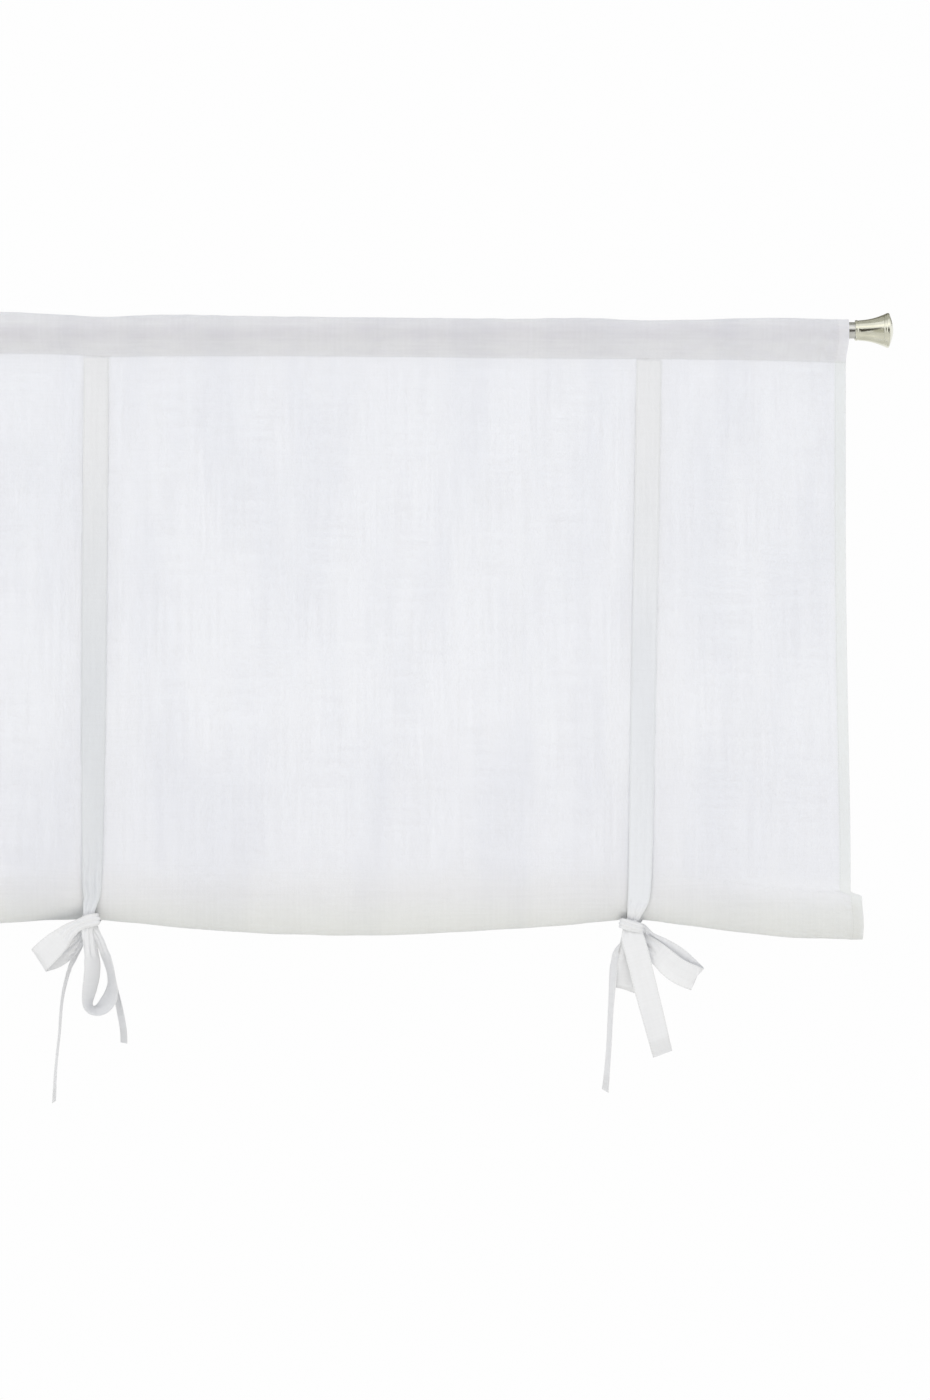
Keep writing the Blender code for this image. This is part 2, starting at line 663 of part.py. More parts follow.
def build_rod():
    """The rod: slim at both ends, wide from the left end of the cloth to where the slim tube slides in."""
    end = FINIAL_MOUTH_X + FINIAL_SOCKET_DEPTH - GAP
    profile = (
        (0.0, end),
        (ROD_SLIM_RADIUS, end),
        (ROD_SLIM_RADIUS, ROD_WIDE_RIGHT + ROD_STEP_CHAMFER),
        (ROD_WIDE_RADIUS, ROD_WIDE_RIGHT),
        (ROD_WIDE_RADIUS, ROD_WIDE_LEFT),
        (ROD_SLIM_RADIUS, ROD_WIDE_LEFT - ROD_STEP_CHAMFER),
        (ROD_SLIM_RADIUS, -end),
        (0.0, -end),
    )
    rod = build_turned("curtain_rod", profile, ROD_SIDES)
    rod.rotation_euler = (0.0, pi / 2, 0.0)
    return rod


def finial_profile():
    """A finial from its domed end down the flare to its mouth, and up the socket that takes the rod."""
    dome = FINIAL_LENGTH - FINIAL_RIM_END
    profile = [(0.0, FINIAL_LENGTH)]
    for rise in FINIAL_DOME_RISES:
        profile.append((FINIAL_RIM_RADIUS * (1 - rise) ** FINIAL_DOME_POWER, FINIAL_RIM_END + rise * dome))
    profile.append((FINIAL_RIM_RADIUS, FINIAL_RIM_END))
    flare = FINIAL_RIM_RADIUS - FINIAL_MOUTH_RADIUS
    for step in range(FINIAL_FLARE_STEPS, -1, -1):
        share = step / FINIAL_FLARE_STEPS
        profile.append((FINIAL_MOUTH_RADIUS + flare * share**FINIAL_FLARE_POWER, FINIAL_RIM_START * share))
    bore = ROD_SLIM_RADIUS + GAP
    return [*profile, (bore, 0.0), (bore, FINIAL_SOCKET_DEPTH), (0.0, FINIAL_SOCKET_DEPTH)]


def build_finial(name, side):
    """A finial on the rod's right (side 1) or left (side -1) end."""
    finial = build_turned(name, finial_profile(), ROD_SIDES)
    finial.location = (side * FINIAL_MOUTH_X * MM, 0.0, 0.0)
    finial.rotation_euler = (0.0, side * pi / 2, 0.0)
    return finial


def make_material(name, colour, roughness, metallic):
    """A plain Principled material."""
    material = bpy.data.materials.new(name)
    material.use_nodes = True
    shader = material.node_tree.nodes["Principled BSDF"]
    shader.inputs["Base Color"].default_value = (*colour, 1.0)
    shader.inputs["Roughness"].default_value = roughness
    shader.inputs["Metallic"].default_value = metallic
    return material


def main():
    """Builds every piece into a collection named for the object."""
    for old in list(bpy.data.objects):
        bpy.data.objects.remove(old, do_unlink=True)
    collection = bpy.data.collections.new("roll_up_curtain")
    bpy.context.scene.collection.children.link(collection)
    linen = ((0.80, 0.82, 0.84), 0.9, 0.0)
    tape = ((0.74, 0.75, 0.75), 0.9, 0.0)
    steel = ((0.62, 0.61, 0.59), 0.35, 1.0)
    pieces = [
        (build_panel(), linen),
        (build_rod(), steel),
        (build_finial("finial_right", 1), steel),
        (build_finial("finial_left", -1), steel),
    ]
    for tie in TIES:
        front = front_strap(tie) + bow_rows(tie, tie.front_bow)
        back = back_strap(tie) + bow_rows(tie, tie.back_bow)
        pieces.append((build_tape(f"tie_{tie.name}_front", front), tape))
        pieces.append((build_tape(f"tie_{tie.name}_back", back), tape))
    for piece, look in pieces:
        collection.objects.link(piece)
        piece.data.materials.append(make_material(piece.name, *look))


main()
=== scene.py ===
"""Roll-up curtain with its rod, dressed: sheer linen, sewn hems, tied bows and nickel finials.

Lengths are millimetres in the tables and become metres where a mesh is made. The origin lies on the rod's
axis at mid-width, +X runs along the rod, the cloth's front looks along -Y and +Z is up.
"""

import logging
from dataclasses import dataclass
from enum import Enum

import bmesh
import bpy
import numpy as np
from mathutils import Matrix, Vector


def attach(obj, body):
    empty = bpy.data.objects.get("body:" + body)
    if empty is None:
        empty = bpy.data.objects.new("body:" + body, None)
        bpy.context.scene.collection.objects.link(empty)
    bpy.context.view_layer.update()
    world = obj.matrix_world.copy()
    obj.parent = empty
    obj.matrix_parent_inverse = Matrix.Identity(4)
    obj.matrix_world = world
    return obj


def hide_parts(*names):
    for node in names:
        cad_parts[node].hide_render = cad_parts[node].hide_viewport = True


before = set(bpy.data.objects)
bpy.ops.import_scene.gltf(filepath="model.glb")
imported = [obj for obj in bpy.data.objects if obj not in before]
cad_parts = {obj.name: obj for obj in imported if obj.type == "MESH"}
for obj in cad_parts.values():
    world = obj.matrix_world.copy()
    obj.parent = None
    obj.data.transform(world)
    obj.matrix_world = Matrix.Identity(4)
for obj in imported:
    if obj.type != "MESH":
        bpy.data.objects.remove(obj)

MM = 0.001
BODY = "root"
UV_NAME = "cloth_metres"
RIM_ANGLE = np.radians(50)
TURNED_EDGE_ANGLE = np.radians(40)
ROUNDING = 1e-9

# In metres, or in waves to the metre

MERGE_DISTANCE = 1e-6
PLAIN_THREADS = 1100.0
UPRIGHT_SLUB_WAVES = (330.0, 9.0, 1.0)
LEVEL_SLUB_WAVES = (12.0, 420.0, 1.0)
STITCH_WIDTH = 0.0007
STITCH_PITCH = 0.003

# Plain numbers: finer noises laid over one, and the soft steps of a stitch's edge and of its hole

CLOTH_DETAIL = 3.0
STITCH_EDGE = (0.4, 1.0)
STITCH_HOLE = (-0.7, -0.2)

logging.basicConfig(level=logging.INFO, format="%(message)s")
log = logging.getLogger("roll_up_curtain")


class End(Enum):
    """An end of the rod, with its direction along X."""

    LEFT = -1
    RIGHT = 1


class Layer(Enum):
    """Which side of the cloth a tape hangs on."""

    FRONT = "front"
    BACK = "back"


# Tables of the cloth's shape


HEADER = np.array(
    # x, top, seam
    [
        (-500, 13.0, -25.0),
        (-389, 19.9, -23.7),
        (-325, 17.0, -24.6),
        (-279, 14.7, -27.0),
        (-226, 16.8, -26.6),
        (-120, 15.4, -26.4),
        (50, 13.6, -27.4),
        (160, 12.7, -28.6),
        (238, 13.2, -29.2),
        (268, 11.4, -29.3),
        (335, 11.6, -29.9),
        (420, 13.6, -31.2),
        (500, 11.6, -33.5),
    ]
)

ROLL = np.array(
    # x, bottom, height, depth
    [
        (-500, -633.0, 50, 33),
        (-420, -625.0, 54, 33),
        (-293, -618.0, 55, 31),
        (-184, -628.0, 61, 36),
        (-110, -632.8, 68, 39),
        (0, -635.0, 71, 41),
        (120, -629.5, 66, 38),
        (200, -624.6, 60, 35),
        (271, -618.0, 55, 31),
        (350, -627.0, 55, 34),
        (445, -637.0, 52, 34),
        (500, -639.0, 49, 33),
    ]
)

SIDE_EDGE = np.array(
    # share of the drop, half width
    [
        (0.0, 497.3),
        (0.45, 497.3),
        (0.65, 498.9),
        (0.85, 500.8),
        (1.0, 501.0),
    ]
)

SOFT_FOLDS = np.array(
    # x, half width, depth, start, end, lean
    [
        (-440, 34, -1.8, 0.05, 0.95, 6),
        (-365, 30, 1.6, 0.15, 0.90, -8),
        (-215, 30, 1.8, 0.10, 0.95, 8),
        (-138, 32, -2.4, 0.05, 0.98, 10),
        (-50, 34, 2.0, 0.20, 0.95, -6),
        (58, 22, -2.8, 0.40, 1.00, -4),
        (118, 34, 2.6, 0.05, 0.90, 12),
        (190, 28, -1.8, 0.10, 0.85, 4),
        (345, 28, 1.8, 0.05, 0.85, -6),
        (410, 26, -2.2, 0.20, 0.95, 8),
        (462, 22, 1.6, 0.10, 0.90, 5),
    ]
)

SHARP_FOLDS = np.array(
    # x, half width, height, start, end along the cloth
    [
        (-226, 5, 0.5, 60, 520),
        (-138, 6, -0.8, 40, 560),
        (-28, 6, -0.7, 120, 560),
        (55.5, 5, -0.9, 300, 575),
        (119.5, 7, -0.7, 60, 380),
        (176, 6, 0.5, 150, 540),
        (362, 6, -0.6, 90, 500),
        (428, 5, -0.6, 40, 420),
    ]
)

HEADER_PUCKERS = np.array(
    # height, x, half width, slant, place along the cloth, half width along it
    [
        (0.9, 312, 9, 0, -17, 8),
        (0.9, 334, 8, 0, -17, 8),
        (0.72, -302, 12, 0, -17, 8),
        (0.8, 502, 3.5, 0.65, -16, 12),
        (-0.7, 494, 3.5, 0.65, -14, 12),
    ]
)

# Tables of the bows: each row is a place along the tape from the knot's centre.
# across, depth, up, width, turn of the width direction about the upright, its lean

LEFT_FRONT_BOW = np.array(
    [
        (0.6, 0.2, 18, 15, 0, 0),
        (0.0, -2.8, 10, 11, 0, 0),
        (-0.4, -4.6, 3, 12, 0, 0),
        (-0.8, -4.4, -4, 11, 0, 0),
        (-1.4, -5.6, -12, 12, 20, 0),
        (1.2, -5.4, -22, 16, 40, 0),
        (4.2, -4.4, -38, 23, 52, 0),
        (3.6, -2.8, -58, 26, 54, 2),
        (-0.2, -2.2, -76, 26, 60, 6),
        (-2.4, -1.8, -89, 26, 76, 8),
        (4.6, -1.6, -94, 26, 92, 18),
        (14.5, -1.6, -90.5, 26, 118, 26),
        (23.0, -1.8, -80, 26, 130, 18),
        (25.6, -2.2, -64, 26, 114, 4),
        (21.4, -2.6, -45, 26, 114, -4),
        (15.6, -3.0, -29, 20, 126, -9),
        (9.5, -2.6, -16, 12, 142, -14),
        (4.4, -1.9, -8, 10, 168, -14),
        (1.2, -2.2, -1, 11, 180, -4),
        (0.5, -2.4, 4, 12, 180, 0),
        (0.5, -2.6, 6.4, 12, 180, 0),
        (0.5, 0.2, 6.4, 12, 180, 0),
        (0.7, -0.2, 3, 12, 180, 0),
        (2.4, -0.2, -2.5, 10.5, 180, 4),
        (6.0, 0.4, -8, 10, 174, 8),
        (8.6, 3.4, -15, 10.5, 156, 10),
        (13.0, 9.0, -25, 12, 130, 8),
        (17.5, 11.5, -40, 15, 114, 6),
        (24.0, 11.0, -62, 20, 112, 4),
        (29.4, 9.0, -83, 25, 112, 3),
        (33.2, 7.0, -100, 26, 112, 2),
        (36.0, 5.5, -116, 26, 111, 1),
        (35.8, 5.0, -127, 26, 110, 0),
    ]
)

LEFT_BACK_BOW = np.array(
    [
        (-2, 18.5, -2.0, 16, 0, 0),
        (-1, 14, -1.2, 10, 0, -16),
        (1.2, 10.4, -0.4, 8, 0, -38),
        (4.8, 7.8, 0.6, 8, 0, -66),
        (10.6, 6.2, 2.0, 9, 0, -84),
        (11.4, 0, 3.0, 11, 0, -80),
        (10.4, -6.4, 3.0, 12.5, 0, -78),
        (5, -7.2, 2.2, 13.5, 0, -76),
        (0, -7.4, 1.0, 13.5, 0, -76),
        (-5, -7.3, -0.6, 12.5, 0, -74),
        (-10, -7.0, -3.2, 12, 0, -68),
        (-17.5, -6.8, -6.5, 14, 0, -58),
        (-26.5, -7.0, -15, 21, 0, -48),
        (-37, -7.0, -25, 26, 0, -47),
        (-45, -6.8, -32.5, 27, 0, -50),
        (-52.5, -5.6, -40.5, 27, 0, -56),
        (-52.5, 5.6, -40.5, 27, 0, -58),
        (-44.5, 7.0, -38.5, 27, 0, -66),
        (-35, 6.6, -37, 25, 0, -66),
        (-24, 5.6, -31, 20, 0, -60),
        (-14, 4.0, -23.5, 14, 0, -48),
        (-9, 3.4, -17.5, 10.5, 0, -32),
        (-5.8, 2.6, -10, 10, 0, -14),
        (-3.6, 2.4, -3, 10.5, 0, 0),
        (-1.5, 2.2, 3, 12, 0, 0),
        (-1.2, 1.9, 6.4, 12, 0, 0),
        (-1.2, 4.8, 6.4, 12, 0, 0),
        (-1.4, 4.5, 3, 12, 0, 0),
        (-2.4, 4.8, -3, 12, 0, 0),
        (-4.6, 7.4, -10, 12, 12, -14),
        (-8.5, 13.5, -20, 13, 40, -12),
        (-14, 18.0, -31, 15, 72, -8),
        (-20.5, 19.0, -45, 20, 83, -4),
        (-26, 17.5, -61, 25, 87, -2),
        (-30, 14.0, -83, 26, 89, 0),
        (-32.3, 11.0, -118, 26, 90, 0),
        (-35.4, 9.0, -148, 26, 90, 0),
        (-37.7, 8.5, -189, 26, 88, 0),
    ]
)

RIGHT_FRONT_BOW = np.array(
    [
        (5.0, -2.4, 17, 18, 0, 0),
        (3.0, -1.0, 9, 13, 0, 0),
        (1.2, -0.5, 3, 13, 0, 0),
        (0.6, -0.5, -4, 14, 0, 0),
        (-1.2, -0.8, -12, 16, 0, -5),
        (-2.6, -0.6, -26, 21, 0, -6),
        (-2.4, 2.0, -42, 25, 0, -6),
        (-3.2, 2.6, -57, 25, 0, -10),
        (-3.6, 2.6, -67.5, 25, 0, -20),
        (-3.6, -4.6, -67.5, 25, 0, -20),
        (-3.0, -5.0, -57, 25, 0, -10),
        (-2.2, -5.2, -42, 24, 0, -6),
        (-1.8, -4.6, -26, 20, 0, -4),
        (-0.5, -3.2, -12, 15, 0, -2),
        (0.0, -2.5, -4, 14, 0, 0),
        (0.0, -2.5, 3, 14, 0, 0),
        (0.0, -2.2, 6.4, 14, 0, 0),
        (0.0, -4.7, 6.4, 14, 0, 0),
        (0.0, -4.6, 3, 14, 0, 0),
        (0.6, -4.6, -3.6, 19, 0, 2),
        (1.2, -7.0, -10, 24.5, 4, 7),
        (3.4, -9.2, -18, 25, 8, 13),
        (8.4, -11.0, -36, 25, 12, 17),
        (14.7, -11.4, -63, 26, 18, 18),
        (22.5, -10.6, -92, 26, 26, 18),
        (33.0, -8.0, -133, 25.5, 34, 15),
    ]
)

RIGHT_BACK_BOW = np.array(
    [
        (2, 18.5, 0.6, 16, 0, 0),
        (1, 14, 0.2, 10, 0, 16),
        (-1.2, 10.4, 0, 8, 0, 38),
        (-4.8, 7.8, 1.0, 8, 0, 66),
        (-11.0, 6.2, 3.2, 9, 0, 84),
        (-12.2, 0, 4.2, 9.5, 0, 76),
        (-11.0, -6.4, 3.8, 10, 0, 74),
        (-5.5, -7.1, 2.2, 11, 0, 75),
        (0, -7.3, 0.4, 11.5, 0, 77),
        (6, -7.1, -1.2, 11, 0, 80),
        (12.4, -6.8, -2.0, 10, 0, 86),
        (14.2, -0.5, -2.6, 9.5, 6, 82),
        (15.6, 5.0, -4.5, 9, 20, 66),
        (19, 5.4, -12.5, 13, 16, 66),
        (28, 4.0, -19.5, 20, 6, 64),
        (38.5, 2.8, -28, 26, 0, 62),
        (47.5, 2.2, -34.4, 26.5, 0, 56),
        (55, 2.0, -40.8, 26.5, 0, 54),
        (61, 1.6, -46.8, 26.5, 0, 55),
        (65.8, 0.9, -51.6, 26.5, 0, 61),
        (68.8, -0.6, -54.6, 26.5, 0, 65),
        (67.8, -3.0, -54.8, 26.5, 0, 65),
        (62, -4.2, -52.6, 26.5, 0, 65),
        (54.8, -4.8, -49.6, 26.5, 0, 63),
        (48.2, -5.0, -46.2, 26.5, 0, 57),
        (42.2, -5.0, -41.8, 26, 0, 50),
        (36, -4.4, -35.8, 25, 0, 45),
        (28.6, -2.6, -29, 22.5, 0, 42),
        (20.5, 0.0, -21.5, 20, 0, 38),
        (13, 2.4, -16.5, 17, 0, 30),
        (6.5, 3.2, -13.5, 13, 0, 14),
        (2.5, 2.8, -9, 12, 0, 4),
        (1.2, 2.3, -3, 12, 0, 0),
        (1, 2.1, 3, 12, 0, 0),
        (1, 1.8, 6.4, 12, 0, 0),
        (1, 4.7, 6.4, 12, 0, 0),
        (1, 4.4, 3, 12, 0, 0),
        (0, 4.6, -3, 12, 0, 0),
        (-3, 5.4, -9, 13, 40, -18),
        (-9, 8.4, -16.5, 15, 88, -10),
        (-14.6, 9.4, -27, 20, 107, -3),
        (-17.6, 6.0, -42, 25, 107, 0),
        (-19.2, 3.0, -62, 26, 103, 0),
        (-20.4, 1.0, -84, 26, 100, 0),
        (-22.2, 0, -120, 26, 99, 0),
        (-24.4, 0, -152, 26, 100, 0),
        (-26.6, 0.5, -172, 26, 103, 0),
    ]
)


# Shared maths


def smooth_step(value: np.ndarray | float, start: float, end: float) -> np.ndarray:
    """0 before start, 1 past end, and 3t^2 - 2t^3 between, with t the share of the way."""
    t = np.clip((np.asarray(value, float) - start) / (end - start), 0.0, 1.0)
    return t * t * (3 - 2 * t)


def hump(value: np.ndarray, centre: float, half_width: float) -> np.ndarray:
    """A bell curve of height 1: e to the power of minus the squared share of the half width."""
    return np.exp(-(((value - centre) / half_width) ** 2))


def table_curve(table: np.ndarray, column: int, x: np.ndarray | float) -> np.ndarray:
    """Reads a smooth curve through a table's column.

    Args:
        table: rows in rising order of their first column.
        column: the column to read.
        x: places along the first column.

    Returns:
        The cubic Hermite curve whose slopes are the table's own finite differences.
    """
    places = table[:, 0].astype(float)
    values = table[:, column].astype(float)
    slopes = np.gradient(values, places)
    x = np.clip(np.asarray(x, float), places[0], places[-1])
    k = np.clip(np.searchsorted(places, x, side="right") - 1, 0, len(places) - 2)
    span = places[k + 1] - places[k]
    t = (x - places[k]) / span
    return (
        (1 + 2 * t) * (1 - t) ** 2 * values[k]
        + t * (1 - t) ** 2 * span * slopes[k]
        + t * t * (3 - 2 * t) * values[k + 1]
        + t * t * (t - 1) * span * slopes[k + 1]
    )


def b_spline(rows: np.ndarray, steps: int) -> np.ndarray:
    """Draws the uniform cubic B-spline of control rows.

    Each point is the sum of four neighbouring rows, weighted by the cubic basis at the share of the way.

    Args:
        rows: the control rows; the curve starts on the first and ends on the last.
        steps: how many points each row gives.

    Returns:
        The curve's points, one a row.
    """
    rows = np.vstack([2 * rows[0] - rows[1], rows, 2 * rows[-1] - rows[-2]])
    t = np.arange(steps) / steps
    middle = (3 * t**3 - 6 * t**2 + 4, 1 + 3 * t + 3 * t**2 - 3 * t**3)
    weights = np.stack([(1 - t) ** 3, *middle, t**3]) / 6
    windows = np.lib.stride_tricks.sliding_window_view(rows, 4, axis=0)
    curve = np.einsum("ks,wck->wsc", weights, windows).reshape(-1, rows.shape[1])
    return np.vstack([curve, rows[-2]])


def unit(vectors: np.ndarray) -> np.ndarray:
    """Vectors divided by their lengths."""
    return vectors / np.linalg.norm(vectors, axis=-1, keepdims=True)


def surface_normals(points: np.ndarray) -> np.ndarray:
    """Unit normals of a grid: the cross product of its differences along rows and columns."""
    down, across = np.gradient(points, axis=0), np.gradient(points, axis=1)
    return unit(np.cross(down, across))


def run_length(points: np.ndarray) -> np.ndarray:
    """Length run along the first axis, starting at 0."""
    steps = np.linalg.norm(np.diff(points, axis=0), axis=-1)
    return np.concatenate([np.zeros_like(steps[:1]), np.cumsum(steps, axis=0)])


@dataclass(frozen=True)
class Waves:
    """Seeded waves on cloth: their height, and their shortest and longest lengths across and along, in mm."""

    seed: int
    count: int
    height: float
    across: tuple
    along: tuple

    def read(self, x: np.ndarray, along: np.ndarray, own_seed: int = 0) -> np.ndarray:
        """Adds the waves up.

        Args:
            x: places across the cloth.
            along: places along it.
            own_seed: a piece's own seed, added to the waves' seed.

        Returns:
            The height times the sum of cos(2 pi (x / a +- along / b + phase)), over the root of the count.
        """
        draw = np.random.default_rng(self.seed + own_seed)
        total = np.zeros(np.broadcast(x, along).shape)
        for _ in range(self.count):
            a = np.exp(draw.uniform(*np.log(self.across)))
            b = np.exp(draw.uniform(*np.log(self.along))) * draw.choice((-1.0, 1.0))
            total = total + np.cos(2 * np.pi * (x / a + along / b + draw.uniform()))
        return self.height * total / np.sqrt(self.count)


HEADER_SWELLS = Waves(seed=3, count=7, height=0.45, across=(26, 90), along=(60, 400))
HEADER_WRINKLES = Waves(seed=4, count=6, height=0.45, across=(9, 26), along=(18, 60))
SEAM_PUCKERS = Waves(seed=8, count=5, height=0.22, across=(7, 13), along=(200, 900))
SHEET_SWELLS = Waves(seed=21, count=8, height=0.55, across=(18, 90), along=(700, 4000))
SHEET_WRINKLES = Waves(seed=5, count=6, height=0.18, across=(9, 22), along=(60, 300))
HEM_PUCKERS = Waves(seed=13, count=4, height=0.25, across=(8, 13), along=(40, 90))
ROLL_WRINKLES = Waves(seed=31, count=8, height=0.30, across=(50, 260), along=(16, 60))

# The drift moves a tape's pleats sideways, so its height counts in pleats and not in mm

TAPE_DRIFT = Waves(seed=0, count=3, height=0.12, across=(30, 70), along=(900, 1000))
TAPE_CURL = Waves(seed=1, count=3, height=0.3, across=(60, 160), along=(900, 1000))
TAPE_CREASES = Waves(seed=2, count=6, height=0.14, across=(14, 40), along=(12, 40))


# Meshes


def grid_object(
    name: str, points: np.ndarray, cloth: np.ndarray | None = None, closed: bool = False
) -> bpy.types.Object:
    """Makes a mesh object from a grid of points.

    Args:
        name: the object's name.
        points: rows by columns by 3, in millimetres.
        cloth: rows by columns by 2, the flat cloth's own coordinates in metres, for the UV map.
        closed: whether the last column joins the first.

    Returns:
        The object, linked to the scene and shaded smooth.
    """
    rows, columns = points.shape[:2]
    index = np.arange(rows * columns).reshape(rows, columns)
    if closed:
        index = np.hstack([index, index[:, :1]])
    corners = [index[:-1, :-1], index[:-1, 1:], index[1:, 1:], index[1:, :-1]]
    quads = np.stack(corners, axis=-1).reshape(-1, 4)
    mesh = bpy.data.meshes.new(name)
    mesh.from_pydata((points.reshape(-1, 3) * MM).tolist(), [], quads.tolist())
    if cloth is not None:
        layer = mesh.uv_layers.new(name=UV_NAME)
        layer.data.foreach_set("uv", cloth.reshape(-1, 2)[quads.ravel()].ravel())
    mesh.shade_smooth()
    piece = bpy.data.objects.new(name, mesh)
    bpy.context.scene.collection.objects.link(piece)
    return piece


def turned_object(
    name: str, profile: np.ndarray, sides: int, start: float, direction: int
) -> bpy.types.Object:
    """Turns a profile about the rod's axis.

    Args:
        name: the object's name.
        profile: rows of (distance along the axis, radius) in millimetres.
        sides: how many sides the turning has.
        start: X of the profile's zero.
        direction: 1 where the profile runs to +X, -1 where it runs to -X.

    Returns:
        The closed object with its poles merged and its normals pointing out.
    """
    angle = np.linspace(0, 2 * np.pi, sides, endpoint=False)
    along = start + direction * np.repeat(profile[:, :1], sides, axis=1)
    radius = profile[:, 1:]
    points = np.stack([along, radius * np.cos(angle), radius * np.sin(angle)], axis=-1)
    piece = grid_object(name, points, closed=True)
    shape = bmesh.new()
    shape.from_mesh(piece.data)
    bmesh.ops.remove_doubles(shape, verts=shape.verts, dist=MERGE_DISTANCE)
    bmesh.ops.recalc_face_normals(shape, faces=shape.faces)
    shape.to_mesh(piece.data)
    shape.free()
    piece.data.set_sharp_from_angle(angle=TURNED_EDGE_ANGLE)
    return piece


def thicken(piece: bpy.types.Object, thickness: float) -> bpy.types.Modifier:
    """Gives a sheet its thickness, half to each side.

    Args:
        piece: the sheet.
        thickness: in millimetres.

    Returns:
        The Solidify modifier.
    """
    wall = piece.modifiers.new("thickness", "SOLIDIFY")
    wall.thickness = thickness * MM
    wall.offset = 0.0
    return wall


def settle(piece: bpy.types.Object) -> None:
    """Turns a piece's modifiers into its mesh, so that its rims can be marked as crisp edges.

    Args:
        piece: the piece, which keeps its name.
    """
    graph = bpy.context.evaluated_depsgraph_get()
    made = bpy.data.meshes.new_from_object(piece.evaluated_get(graph), depsgraph=graph)
    made.name = piece.name
    piece.modifiers.clear()
    piece.data = made
    made.set_sharp_from_angle(angle=RIM_ANGLE)


# Shader wiring


class Wiring:
    """Adds nodes to a node tree and joins them, left to right.

    SHARE, COLOUR_A, COLOUR_B and MIXED are the places of a colour Mix node's sockets.
    """

    SHARE, COLOUR_A, COLOUR_B, MIXED = 0, 6, 7, 2

    def __init__(self, tree: bpy.types.NodeTree) -> None:
        """Keeps the tree that the nodes go in."""
        self.tree = tree

    def node(self, kind: str, **settings: object) -> bpy.types.Node:
        """Adds a node.

        Args:
            kind: the node's type.
            settings: its properties.

        Returns:
            The node.
        """
        made = self.tree.nodes.new(kind)
        for key, value in settings.items():
            setattr(made, key, value)
        return made

    def feed(self, value: object, socket: bpy.types.NodeSocket) -> None:
        """Joins a socket to an input, or sets the input's value.

        Args:
            value: an output socket or a plain value.
            socket: the input.
        """
        if isinstance(value, bpy.types.NodeSocket):
            self.tree.links.new(value, socket)
        else:
            socket.default_value = value

    def math(self, operation: str, *values: object, clamp: bool = False) -> bpy.types.NodeSocket:
        """Adds a Math node.

        Args:
            operation: the node's operation.
            values: numbers or sockets, one for each input.
            clamp: whether the result stays between 0 and 1.

        Returns:
            The result.
        """
        made = self.node("ShaderNodeMath", operation=operation, use_clamp=clamp)
        for value, socket in zip(values, made.inputs):
            self.feed(value, socket)
        return made.outputs[0]

    def ramp(
        self, value: object, low: float, high: float, to_low: float = 0.0, to_high: float = 1.0
    ) -> bpy.types.NodeSocket:
        """Maps a value from one range to another, smoothly and clamped.

        Args:
            value: the value.
            low, high: the range that it comes from.
            to_low, to_high: the range that it goes to.

        Returns:
            The mapped value.
        """
        made = self.node("ShaderNodeMapRange", interpolation_type="SMOOTHSTEP")
        names = ("Value", "From Min", "From Max", "To Min", "To Max")
        for name, entry in zip(names, (value, low, high, to_low, to_high)):
            self.feed(entry, made.inputs[name])
        return made.outputs["Result"]

    def noise(self, place: object, waves: tuple, detail: float) -> bpy.types.NodeSocket:
        """Adds a noise that is stretched along its axes.

        Args:
            place: where it is read, in metres.
            waves: about how many waves it has to the metre, along each axis.
            detail: how many finer noises are laid over it.

        Returns:
            The noise, about 0.5 in the mean.
        """
        scaled = self.node("ShaderNodeVectorMath", operation="MULTIPLY")
        self.feed(place, scaled.inputs[0])
        scaled.inputs[1].default_value = waves
        made = self.node("ShaderNodeTexNoise")
        self.feed(scaled.outputs[0], made.inputs["Vector"])
        made.inputs["Scale"].default_value = 1.0
        made.inputs["Detail"].default_value = detail
        return made.outputs["Fac"]

    def place(self) -> list:
        """The three Object coordinates in metres."""
        split = self.node("ShaderNodeSeparateXYZ")
        self.feed(self.node("ShaderNodeTexCoord").outputs["Object"], split.inputs[0])
        return list(split.outputs)

    def mix(
        self, share: object, colour_a: object, colour_b: tuple, blend: str = "MIX"
    ) -> bpy.types.NodeSocket:
        """Blends a second colour into a first one.

        Args:
            share: how much of the second one.
            colour_a: the first one, a socket or a plain colour.
            colour_b: the second one.
            blend: the Mix node's blend type.

        Returns:
            The blended colour.
        """
        made = self.node("ShaderNodeMix", data_type="RGBA", blend_type=blend)
        self.feed(share, made.inputs[self.SHARE])
        self.feed((*colour_a, 1.0) if isinstance(colour_a, tuple) else colour_a, made.inputs[self.COLOUR_A])
        made.inputs[self.COLOUR_B].default_value = (*colour_b, 1.0)
        return made.outputs[self.MIXED]

    def darken(self, colour: object, share: object, by: tuple) -> bpy.types.NodeSocket:
        """A colour multiplied by another one, by a share."""
        return self.mix(share, colour, by, "MULTIPLY")


def new_group(name: str, inputs: dict, outputs: tuple) -> tuple:
    """Starts a shader node group.

    Args:
        name: the group's name.
        inputs: socket names with their kind, "vector" or a default number.
        outputs: names of the numbers that it puts out.

    Returns:
        The group, its wiring, its input sockets by name and its output node.
    """
    group = bpy.data.node_groups.new(name, "ShaderNodeTree")
    for key, value in inputs.items():
        kind = "NodeSocketVector" if value == "vector" else "NodeSocketFloat"
        socket = group.interface.new_socket(name=key, in_out="INPUT", socket_type=kind)
        if value != "vector":
            socket.default_value = value
    for key in outputs:
        group.interface.new_socket(name=key, in_out="OUTPUT", socket_type="NodeSocketFloat")
    wiring = Wiring(group)
    given = wiring.node("NodeGroupInput").outputs
    return group, wiring, given, wiring.node("NodeGroupOutput")


